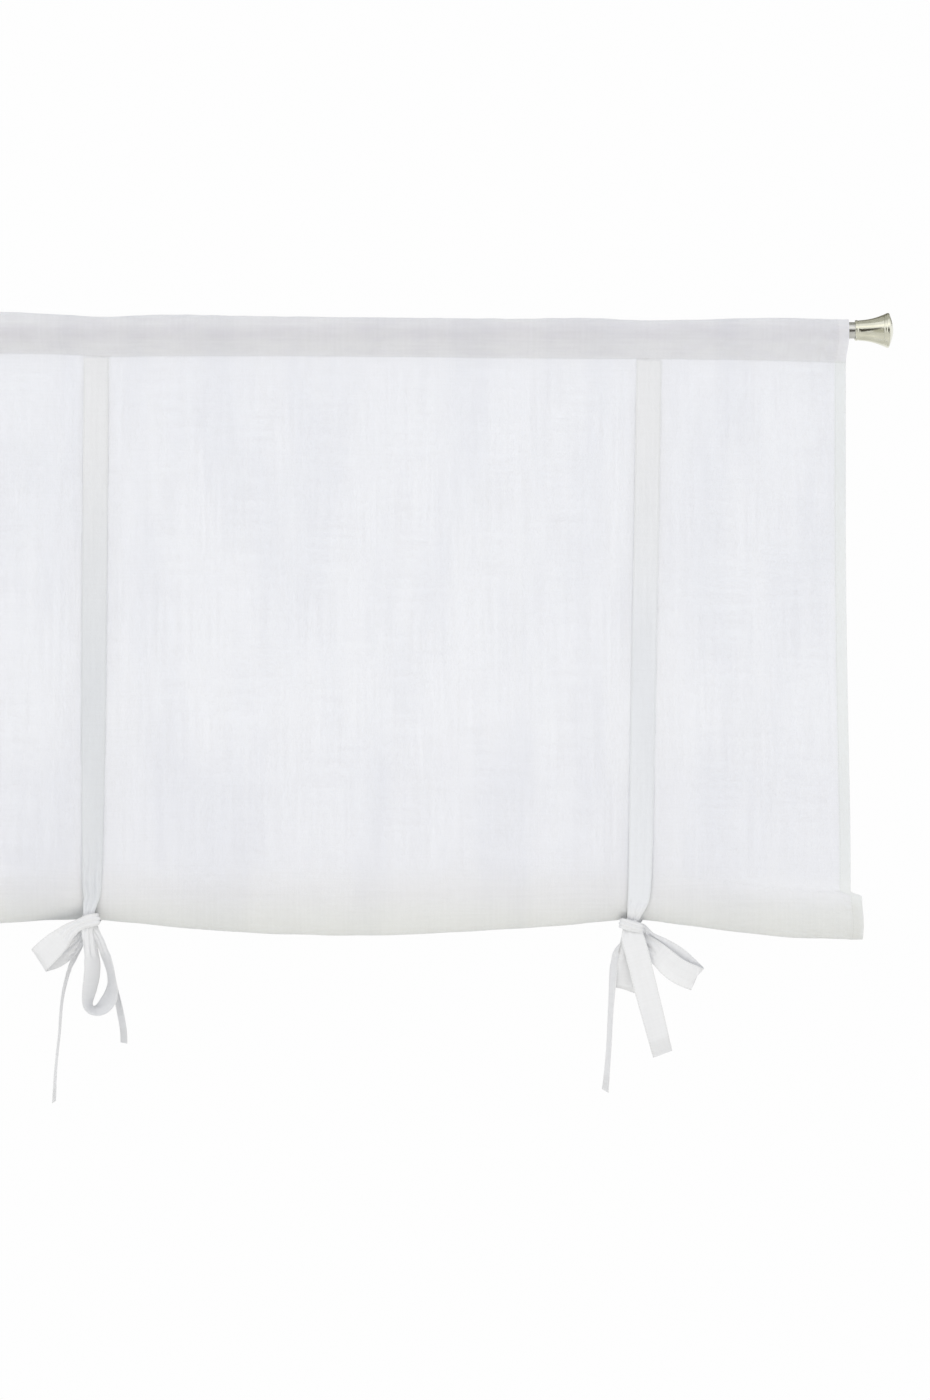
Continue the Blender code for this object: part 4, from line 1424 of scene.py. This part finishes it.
@dataclass
class Tape:
    """One tape of a tie, from the header's seam to its free end in the bow.

    Lengths are millimetres and angles degrees round the roll. A pair of numbers is where a soft step starts
    and ends, and a drop is a share of the way from the seam to the roll's middle.
    """

    tie: str
    layer: Layer
    strap: Strap
    bow: np.ndarray
    panel: CurtainPanel
    seed: int
    width: float = 26.0
    cad_thickness: float = 1.0
    thickness: float = 0.5
    to_sheet: float = 0.3
    sewn_in: float = 0.3
    sewn_drop: float = 0.1
    to_roll: float = 1.2
    under_roll: float = 2.6
    end_clearance: float = 0.4
    front_drops: tuple = (0.0, 0.04, 0.12, 0.3, 0.5, 0.7, 0.88)
    gather_drops: tuple = (0.7, 0.95)
    front_start_angle: float = -8.0
    back_angles: tuple = (184.0, 166.0, 148.0, 130.0, 112.0)
    back_top: float = 0.3
    back_bulge: float = 1.0
    back_narrows: float = 7.0
    to_knot_angle: float = 90.0
    spline_steps: int = 24
    step: float = 2.0
    columns: int = 21
    pleats: float = 2.5
    pleat_start: float = 22.0
    pleat_least: float = 0.55
    pleat_more: float = 0.6
    pleat_reach: tuple = (16.0, 40.0)
    loose_reach: tuple = (30.0, 90.0)
    curl_level: float = 0.33
    crease_eased: float = 0.7
    knot_crown: float = 0.9
    crown_reach: tuple = (13.0, 20.0)

    @property
    def name(self) -> str:
        """The piece's name."""
        return f"{self.tie}_{self.layer.value}_tape"

    def roll_outside(self, angle: float, outward: float) -> tuple:
        """A place just outside the roll at the tie.

        Args:
            angle: how far round the roll; ahead of 0 or past 180 the place lies straight up from it.
            outward: how far outside the roll.

        Returns:
            Depth and level.
        """
        half_height, half_depth, middle = self.panel.roll_size(self.strap.roll_x)
        on_roll = min(max(angle, 0), 180)
        a = np.radians(on_roll)
        rise = half_height * np.sin(np.radians(max(-angle, angle - 180, 0)))
        shrink = self.panel.roll_pitch_share * half_height * on_roll / 360
        depth = -(half_depth - shrink + outward) * np.cos(a)
        return float(depth), float(middle - (half_height - shrink + outward) * np.sin(a) + rise)

    def front_rows(self) -> list:
        """Control rows of a front tape from the seam to the roll: x, depth, level, width, turn and lean."""
        panel, strap = self.panel, self.strap
        rows = []
        seam, middle = panel.header(strap.roll_x)[1], panel.roll_size(strap.roll_x)[2]
        for drop in self.front_drops:
            level = panel.sheet(strap.roll_x, drop)[1]
            share = np.clip((seam - level) / (seam - middle), 0, 1)
            x = strap.seam_x + (strap.roll_x - strap.seam_x) * share
            width = self.width - strap.early_gather * smooth_step(drop, *self.gather_drops)
            rows.append((x, self.on_sheet(x, drop), level, width, 0, 0))
        outward = panel.cloth / 2 + self.to_roll + self.cad_thickness / 2
        upper_width = (self.width + strap.roll_width) / 2 - strap.early_gather / 2
        lower_width = strap.roll_width - strap.early_gather
        angles = (self.front_start_angle, strap.front_end_angle)
        for angle, width in zip(angles, (upper_width, lower_width)):
            depth, level = self.roll_outside(angle, outward)
            share = (angle - self.front_start_angle) / self.to_knot_angle
            x = strap.roll_x + (strap.knot[0] - strap.roll_x) * share
            rows.append((x, depth, level, width, 0, 0))
        return rows

    def back_rows(self) -> list:
        """Control rows of a back tape from the seam, straight down and round the roll from behind."""
        panel, strap = self.panel, self.strap
        outward = panel.cloth / 2 + self.under_roll + self.cad_thickness / 2
        top = panel.header(strap.seam_x)[1] - self.back_top
        depth, level = self.roll_outside(180, outward)
        halfway = ((strap.seam_x + strap.roll_x) / 2, depth / 2 + self.back_bulge, (top + level) / 2)
        rows = [
            (strap.seam_x, self.end_clearance + self.cad_thickness / 2, top, self.width, 0, 0),
            (*halfway, self.width, 0, 0),
        ]
        for angle in self.back_angles:
            depth, level = self.roll_outside(angle, outward)
            share = (self.back_angles[0] - angle) / self.to_knot_angle
            x = strap.roll_x + (strap.knot[0] - strap.roll_x) * share
            rows.append((x, depth, level, self.width - self.back_narrows * share, 0, 0))
        return rows

    def on_sheet(self, x: float, drop: float) -> float:
        """Depth of the tape's middle in front of the sheet.

        Args:
            x: the place across the cloth.
            drop: how far down the sheet.

        Returns:
            A depth that is sewn into the cloth at the seam and then just clear of it.
        """
        sheet = self.panel.sheet(np.array([[x]]), np.array([[drop]]))[0].item()
        let_out = smooth_step(drop, 0.0, self.sewn_drop).item()
        clear = (self.to_sheet + self.sewn_in) * let_out - self.sewn_in
        return sheet - self.panel.thickness / 2 - clear - self.thickness / 2

    def route(self) -> tuple:
        """Draws the tape's way.

        Returns:
            Even lengths along the tape, its centre line, widths, width directions and headings. A width
            direction is turned over where it points against the one before it.
        """
        bow = self.bow.astype(float).copy()
        bow[:, :3] += self.strap.knot
        upper = self.front_rows() if self.layer is Layer.FRONT else self.back_rows()
        rows = np.vstack([np.array(upper, float), bow])
        turn, lean = np.radians(rows[:, 4]), np.radians(rows[:, 5])
        lies = np.stack([np.cos(lean) * np.cos(turn), np.cos(lean) * np.sin(turn), np.sin(lean)], axis=1)
        agree = np.sum(lies[1:] * lies[:-1], axis=1)
        flips = np.where(agree < -ROUNDING, -1.0, 1.0)
        lies[1:] *= np.cumprod(flips)[:, None]
        fine = b_spline(np.hstack([rows[:, :4], lies]), self.spline_steps)
        length = run_length(fine[:, :3])
        even = np.linspace(0, length[-1], int(length[-1] / self.step))
        fine = np.stack([np.interp(even, length, column) for column in fine.T], axis=1)
        path, widths, lies = fine[:, :3], fine[:, 3], fine[:, 4:]
        heading = unit(np.gradient(path, axis=0))
        lies = unit(lies - heading * np.sum(lies * heading, axis=1, keepdims=True))
        return even, path, widths, lies, heading

    def relief(self, t: np.ndarray, s: np.ndarray, path: np.ndarray, widths: np.ndarray) -> np.ndarray:
        """Pleats, curl, creases and the knot's crown as a height over the tape's smooth form.

        Args:
            t: places across the tape, from -1 to 1.
            s: places along it.
            path: its centre line.
            widths: its drawn widths.

        Returns:
            The heights. Pleats are as high as the root of the width at which they start squared less the
            drawn width squared, over four times their number, as far as the knot leaves them room.
        """
        from_knot = np.linalg.norm(path - np.array(self.strap.knot), axis=1)[:, None]
        taken = np.sqrt(np.maximum(self.pleat_start**2 - widths**2, 0.0))[:, None] / (4 * self.pleats)
        room = self.pleat_least + self.pleat_more * smooth_step(from_knot, *self.pleat_reach)
        drift = TAPE_DRIFT.read(s, 0 * s, self.seed)
        pleated = np.minimum(taken, room) * np.cos(2 * np.pi * (self.pleats * (t + 1) / 2 + drift))
        loose = smooth_step(from_knot, *self.loose_reach)
        curl = loose * (t**2 - self.curl_level) * TAPE_CURL.read(s, 0 * s, self.seed)
        crease = (1 - self.crease_eased * loose) * TAPE_CREASES.read(t * self.width / 2, s, self.seed)
        crown = self.knot_crown * (1 - smooth_step(from_knot, *self.crown_reach)) * t**2
        return pleated + curl + crease - crown

    def build(self, material: bpy.types.Material) -> bpy.types.Object:
        """Args:
            material: the tape's linen.

        Returns:
            The dressed piece.
        """
        even, path, widths, lies, heading = self.route()
        normal = np.cross(heading, lies)
        t = np.linspace(-1, 1, self.columns)[None, :]
        s = even[:, None]
        height = self.relief(t, s, path, widths)
        points = path[:, None] + lies[:, None] * (t * widths[:, None] / 2)[..., None]
        points = points + normal[:, None] * height[..., None]
        from_end = np.broadcast_to(even[-1] - s, height.shape)
        cloth = np.stack([np.broadcast_to(t * self.width / 2, height.shape), from_end], axis=-1)
        piece = grid_object(self.name, points, cloth * MM)
        thicken(piece, self.thickness)
        settle(piece)
        piece.data.materials.append(material)
        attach(piece, BODY)
        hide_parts(f"tie_{self.tie}_{self.layer.value}")
        log.info("%s: %d faces, %.0f mm long", piece.name, len(piece.data.polygons), even[-1])
        return piece


@dataclass
class Rod:
    """The telescopic rod: a wide tube from the left and a slimmer one that slides in it, in millimetres."""

    name: str = "rod_tube"
    slim_radius: float = 8.65
    wide_radius: float = 9.5
    wide_left: float = -497.0
    wide_right: float = 247.0
    end: float = 524.4
    bevel: float = 0.3
    lip: float = 0.6
    shoulder_drop: float = 0.25
    rolled_length: float = 1.5
    rolled_drop: float = 0.15
    lip_drop: float = 0.5
    sides: int = 96

    def profile(self) -> np.ndarray:
        """The stepped profile with a rolled lip where the wide tube ends, as rows of X and radius."""
        return np.array(
            [
                (-self.end, 0.0),
                (-self.end, self.slim_radius - self.bevel),
                (-self.end + self.bevel, self.slim_radius),
                (self.wide_left - self.lip, self.slim_radius),
                (self.wide_left - self.lip / 2, self.wide_radius - self.shoulder_drop),
                (self.wide_left, self.wide_radius),
                (self.wide_right - self.rolled_length, self.wide_radius),
                (self.wide_right, self.wide_radius - self.rolled_drop),
                (self.wide_right + self.lip, self.wide_radius - self.lip_drop),
                (self.wide_right + self.lip, self.slim_radius),
                (self.end - self.bevel, self.slim_radius),
                (self.end, self.slim_radius - self.bevel),
                (self.end, 0.0),
            ]
        )

    def build(self, tube: bpy.types.Material, sleeve: bpy.types.Material) -> bpy.types.Object:
        """Turns the rod and gives the wide tube a near-black finish, which shows through the pocket as
        painted shade.

        Args:
            tube: the finish of the slim tube, which shows at the ends.
            sleeve: the near-black finish of the wide tube inside the pocket, painted shade seen through the
                cloth.

        Returns:
            The dressed piece.
        """
        piece = turned_object(self.name, self.profile(), self.sides, 0.0, 1)
        piece.data.materials.append(tube)
        piece.data.materials.append(sleeve)
        faces = piece.data.polygons
        centres = np.empty(3 * len(faces), np.float32)
        faces.foreach_get("center", centres)
        x = centres[::3] / MM
        in_pocket = (x > self.wide_left) & (x < self.wide_right)
        faces.foreach_set("material_index", in_pocket.astype(np.int32))
        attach(piece, BODY)
        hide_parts("curtain_rod")
        log.info("%s: %d faces", piece.name, len(piece.data.polygons))
        return piece


@dataclass
class Finial:
    """A trumpet-shaped end cap: a beaded mouth, a flare, two fine rings at the rim and a low dome.

    Lengths are millimetres from the mouth. A ring is its place, half width and height, below 0 for a groove.
    """

    end: End
    mouth_x: float = 506.7
    length: float = 40.4
    mouth_radius: float = 10.5
    mouth_bevel: float = 0.3
    rim_radius: float = 18.2
    rim_start: float = 33.5
    rim_end: float = 35.5
    rim_edge: tuple = (0.1, 0.15)
    rim_flat: float = 0.5
    rim_bevel: float = 0.3
    flare_start: float = 0.8
    flare_gap: float = 0.2
    flare_power: float = 2.2
    flare_rows: int = 70
    dome_power: float = 0.6
    dome_spacing: float = 0.8
    dome_start: float = 0.98
    dome_rows: int = 24
    bore: float = 8.95
    bore_bevel: float = 0.4
    socket_depth: float = 18.0
    rings: tuple = ((1.6, 0.8, 0.35), (3.6, 0.7, -0.25), (29.6, 0.32, -0.4), (31.7, 0.32, -0.4))
    sides: int = 128

    def profile(self) -> np.ndarray:
        """The profile from the socket's floor round the mouth and flare to the dome's top.

        Returns:
            Rows of length and radius. The flare's radius grows by the power of the share of its length,
            with a bell at each ring, and the dome's falls by the power of what is left of its height.
        """
        flare = np.linspace(self.flare_start, self.rim_start - self.flare_gap, self.flare_rows)
        grown = self.rim_radius - self.mouth_radius
        radius = self.mouth_radius + grown * (flare / self.rim_start) ** self.flare_power
        for place, half_width, height in self.rings:
            radius += height * hump(flare, place, half_width)
        rise = 1 - np.linspace(self.dome_start, 0.0, self.dome_rows) ** (1 / self.dome_spacing)
        dome_x = self.rim_end + rise * (self.length - self.rim_end)
        dome_r = self.rim_radius * (1 - rise) ** self.dome_power
        mouth = [
            (self.socket_depth, 0.0),
            (self.socket_depth, self.bore),
            (self.bore_bevel, self.bore),
            (0.0, self.bore + self.bore_bevel),
            (0.0, self.mouth_radius - self.mouth_bevel),
            (self.mouth_bevel, self.mouth_radius),
        ]
        edge_in, edge_down = self.rim_edge
        rim = [
            (self.rim_start + edge_in, self.rim_radius - edge_down),
            (self.rim_start + self.rim_flat, self.rim_radius),
            (self.rim_end - self.rim_bevel, self.rim_radius),
        ]
        flared = np.stack([flare, radius], axis=1)
        dome = np.stack([dome_x, dome_r], axis=1)
        return np.vstack([mouth, flared, rim, dome, [(self.length, 0.0)]])

    def build(self, material: bpy.types.Material) -> bpy.types.Object:
        """Turns the finial on its end of the rod.

        Args:
            material: the polished nickel.

        Returns:
            The dressed piece.
        """
        side = self.end.name.lower()
        start = self.end.value * self.mouth_x
        piece = turned_object(f"{side}_finial", self.profile(), self.sides, start, self.end.value)
        piece.data.materials.append(material)
        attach(piece, BODY)
        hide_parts(f"finial_{side}")
        log.info("%s: %d faces", piece.name, len(piece.data.polygons))
        return piece


# The studio


@dataclass(frozen=True)
class Card:
    """A studio card that only polished metal picks up, with two rows of two corners in millimetres."""

    name: str
    corners: list
    colour: tuple
    own_light: float = 0.0
    light_colour: tuple = (1.0, 0.985, 0.94)

    def build(self) -> None:
        """Makes the card, hidden from the camera and from soft light."""
        card = grid_object(self.name, np.array(self.corners, float))
        material = bpy.data.materials.new(self.name)
        material.use_nodes = True
        shader = material.node_tree.nodes["Principled BSDF"]
        shader.inputs["Base Color"].default_value = (*self.colour, 1.0)
        shader.inputs["Emission Color"].default_value = (*self.light_colour, 1.0)
        shader.inputs["Emission Strength"].default_value = self.own_light
        card.data.materials.append(material)
        for ray in ("camera", "diffuse", "transmission", "shadow"):
            setattr(card, f"visible_{ray}", False)


@dataclass(frozen=True)
class SoftLight:
    """A large soft light that stays out of the picture: place and side in metres, power in watts."""

    name: str
    place: tuple
    size: float
    power: float
    colour: tuple = (1.0, 1.0, 1.0)
    target: tuple = (0.0, 0.0, -0.35)

    def build(self) -> None:
        """Makes the light, turned to the middle of the curtain."""
        light = bpy.data.lights.new(self.name, "AREA")
        light.size = self.size
        light.energy = self.power
        light.color = self.colour
        lamp = bpy.data.objects.new(self.name, light)
        lamp.location = self.place
        lamp.rotation_euler = (Vector(self.target) - lamp.location).to_track_quat("-Z", "Y").to_euler()
        lamp.visible_camera = False
        lamp.visible_glossy = False
        bpy.context.scene.collection.objects.link(lamp)


CARDS = (
    Card(
        name="dark_front_card",
        corners=[[(-3500, -5200, 1750), (-3500, -5200, 2200)], [(2500, -5200, -4100), (2500, -5200, 450)]],
        colour=(0.03, 0.022, 0.01),
    ),
    Card(
        name="grey_front_card",
        corners=[[(-5000, -5300, -2500), (-5000, -5300, 1900)], [(-1500, -5300, -2500), (-1500, -5300, 600)]],
        colour=(0.55, 0.54, 0.47),
    ),
    Card(
        name="bright_strip_card",
        corners=[[(-3500, -1300, 700), (-3500, -1300, 1500)], [(2500, -1300, 700), (2500, -1300, 1500)]],
        colour=(0.0, 0.0, 0.0),
        own_light=1.28,
    ),
    Card(
        name="grey_ceiling_card",
        corners=[[(-6000, -1000, 4000), (-6000, 3000, 4000)], [(6000, -1000, 4000), (6000, 3000, 4000)]],
        colour=(0.5, 0.5, 0.46),
    ),
    Card(
        name="dark_back_card",
        corners=[[(-7000, 3000, 500), (-7000, 3000, 7000)], [(2500, 3000, 500), (2500, 3000, 7000)]],
        colour=(0.19, 0.18, 0.14),
    ),
    Card(
        name="grey_low_card",
        corners=[[(-6000, -3700, -1500), (-6000, 1500, -1500)], [(6000, -3700, -1500), (6000, 1500, -1500)]],
        colour=(0.71, 0.705, 0.67),
    ),
)

LIGHTS = (
    SoftLight(name="key", place=(-2.0, -2.4, 1.9), size=1.4, power=11.5),
    SoftLight(name="fill", place=(2.6, -3.0, 1.1), size=1.8, power=5.5),
    SoftLight(name="top", place=(0.1, -0.9, 1.7), size=1.2, power=5.5),
    SoftLight(name="bounce", place=(0.1, -1.2, -1.3), size=0.8, power=4.8, colour=(1.0, 0.95, 0.82)),
)


@dataclass
class Studio:
    """A plain pale floor that fades out, even white light, soft lights and cards for the polished metal.

    Lengths are metres, and the camera's lens is in millimetres.
    """

    world_colour: tuple = (1.0, 1.0, 1.0)
    world_strength: float = 0.99
    floor_level: float = -2.0
    floor_reach: float = 3.0
    floor_points: int = 9
    floor_colour: tuple = (0.88, 0.87, 0.84)
    floor_roughness: float = 0.9
    floor_fade: tuple = (1.0, 2.4)
    camera_place: tuple = (0.0985, -4.0, -0.387)
    lens: float = 98.2

    def build(self) -> None:
        """Makes the world, the floor, the lights, the cards and the camera."""
        scene = bpy.context.scene
        scene.view_settings.view_transform = "Standard"
        world = bpy.data.worlds.new("even_white")
        world.use_nodes = True
        background = world.node_tree.nodes["Background"]
        background.inputs["Color"].default_value = (*self.world_colour, 1.0)
        background.inputs["Strength"].default_value = self.world_strength
        scene.world = world
        self.floor()
        for item in (*LIGHTS, *CARDS):
            item.build()
        camera = bpy.data.objects.new("camera", bpy.data.cameras.new("camera"))
        camera.data.lens = self.lens
        camera.location = self.camera_place
        camera.rotation_euler = (np.pi / 2, 0.0, 0.0)
        scene.collection.objects.link(camera)
        scene.camera = camera

    def floor(self) -> None:
        """Makes a pale floor that fades into the white by the distance from its middle."""
        side = np.linspace(-self.floor_reach, self.floor_reach, self.floor_points) / MM
        x, y = np.meshgrid(side, side, indexing="xy")
        points = np.stack([x, y, np.full_like(x, self.floor_level / MM)], axis=-1)
        floor = grid_object("floor", points)
        material = bpy.data.materials.new("pale_floor")
        material.use_nodes = True
        wiring = Wiring(material.node_tree)
        shader = material.node_tree.nodes["Principled BSDF"]
        shader.inputs["Base Color"].default_value = (*self.floor_colour, 1.0)
        shader.inputs["Roughness"].default_value = self.floor_roughness
        shader.inputs["Specular IOR Level"].default_value = 0.0
        flat = wiring.node("ShaderNodeVectorMath", operation="MULTIPLY")
        wiring.feed(wiring.node("ShaderNodeTexCoord").outputs["Object"], flat.inputs[0])
        flat.inputs[1].default_value = (1.0, 1.0, 0.0)
        length = wiring.node("ShaderNodeVectorMath", operation="LENGTH")
        wiring.feed(flat.outputs[0], length.inputs[0])
        fade = wiring.ramp(length.outputs["Value"], *self.floor_fade, 1.0, 0.0)
        wiring.feed(fade, shader.inputs["Alpha"])
        floor.data.materials.append(material)


# Finishes, ties and the order of work


LINEN = ClothFinish(
    name="sheer_linen",
    thread_colour=(0.88, 0.875, 0.875),
    slub_colour=(0.83, 0.825, 0.83),
    hem_tone_and_shade=(0.82, 0.832, 0.805),
    cloud_colour=(0.965, 0.967, 0.975),
    through_colour=(0.735, 0.79, 0.905),
    threads=1100.0,
    openness=0.13,
    glow=0.26,
    hem_line=0.488,
    seam_line=True,
    header_rod_shade_and_mottle=((0.955, 0.95, 0.965), (0.976, 0.972, 0.981)),
    rolled_painted_shade=(0.987, 0.998, 0.966),
    end_painted_shade=None,
    low_painted_shade=(0.963, 0.963, 0.97),
    strap_painted_shades=None,
)

TAPE_LINEN = ClothFinish(
    name="tape_linen",
    thread_colour=(0.79, 0.797, 0.815),
    slub_colour=(0.752, 0.758, 0.775),
    hem_tone_and_shade=(0.775, 0.783, 0.795),
    cloud_colour=(0.97, 0.972, 0.975),
    through_colour=(0.88, 0.90, 0.93),
    threads=1300.0,
    openness=0.03,
    glow=0.12,
    hem_line=0.0112,
    seam_line=False,
    header_rod_shade_and_mottle=None,
    rolled_painted_shade=None,
    end_painted_shade=(0.94, 0.94, 0.935),
    low_painted_shade=None,
    strap_painted_shades=((0.9, 0.915, 0.93), (0.965, 0.978, 1.0)),
)

NICKEL = MetalFinish(
    name="champagne_nickel",
    light=(0.78, 0.775, 0.67),
    dark=(0.72, 0.715, 0.61),
    roughness=0.16,
)

STEEL = MetalFinish(
    name="drawn_steel",
    light=(0.68, 0.68, 0.66),
    dark=(0.58, 0.58, 0.56),
    roughness=0.2,
)

# Near black, so that the rod shows through the pocket as a dark band: painted shade.
SLEEVE_SHADE_STEEL = MetalFinish(
    name="sleeve_shade_steel",
    light=(0.17, 0.165, 0.17),
    dark=(0.13, 0.125, 0.13),
    roughness=0.35,
)

LEFT_STRAP = Strap(
    seam_x=-287.7,
    roll_x=-290.5,
    knot=(-293.4, -19.0, -618.0),
    roll_width=20.0,
    front_end_angle=8.0,
    early_gather=5.0,
)

RIGHT_STRAP = Strap(
    seam_x=291.5,
    roll_x=281.0,
    knot=(271.5, -14.0, -623.0),
    roll_width=23.0,
    front_end_angle=14.0,
    early_gather=1.0,
)

TAPES = (
    # tie, strap, layer, bow, seed
    ("left", LEFT_STRAP, Layer.FRONT, LEFT_FRONT_BOW, 101),
    ("left", LEFT_STRAP, Layer.BACK, LEFT_BACK_BOW, 111),
    ("right", RIGHT_STRAP, Layer.FRONT, RIGHT_FRONT_BOW, 121),
    ("right", RIGHT_STRAP, Layer.BACK, RIGHT_BACK_BOW, 131),
)


def main() -> None:
    """Builds the curtain piece by piece, then the studio."""
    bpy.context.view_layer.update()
    weave, stitch = weave_group(), stitch_group()
    linen = LINEN.build(weave, stitch)
    tape_linen = TAPE_LINEN.build(weave, stitch)
    nickel, steel, sleeve = NICKEL.build(), STEEL.build(), SLEEVE_SHADE_STEEL.build()
    panel = CurtainPanel()
    panel.build(linen)
    for tie, strap, layer, bow, seed in TAPES:
        Tape(tie=tie, layer=layer, strap=strap, bow=bow, panel=panel, seed=seed).build(tape_linen)
    Rod().build(steel, sleeve)
    for end in End:
        Finial(end).build(nickel)
    Studio().build()


if __name__ == "__main__":
    main()
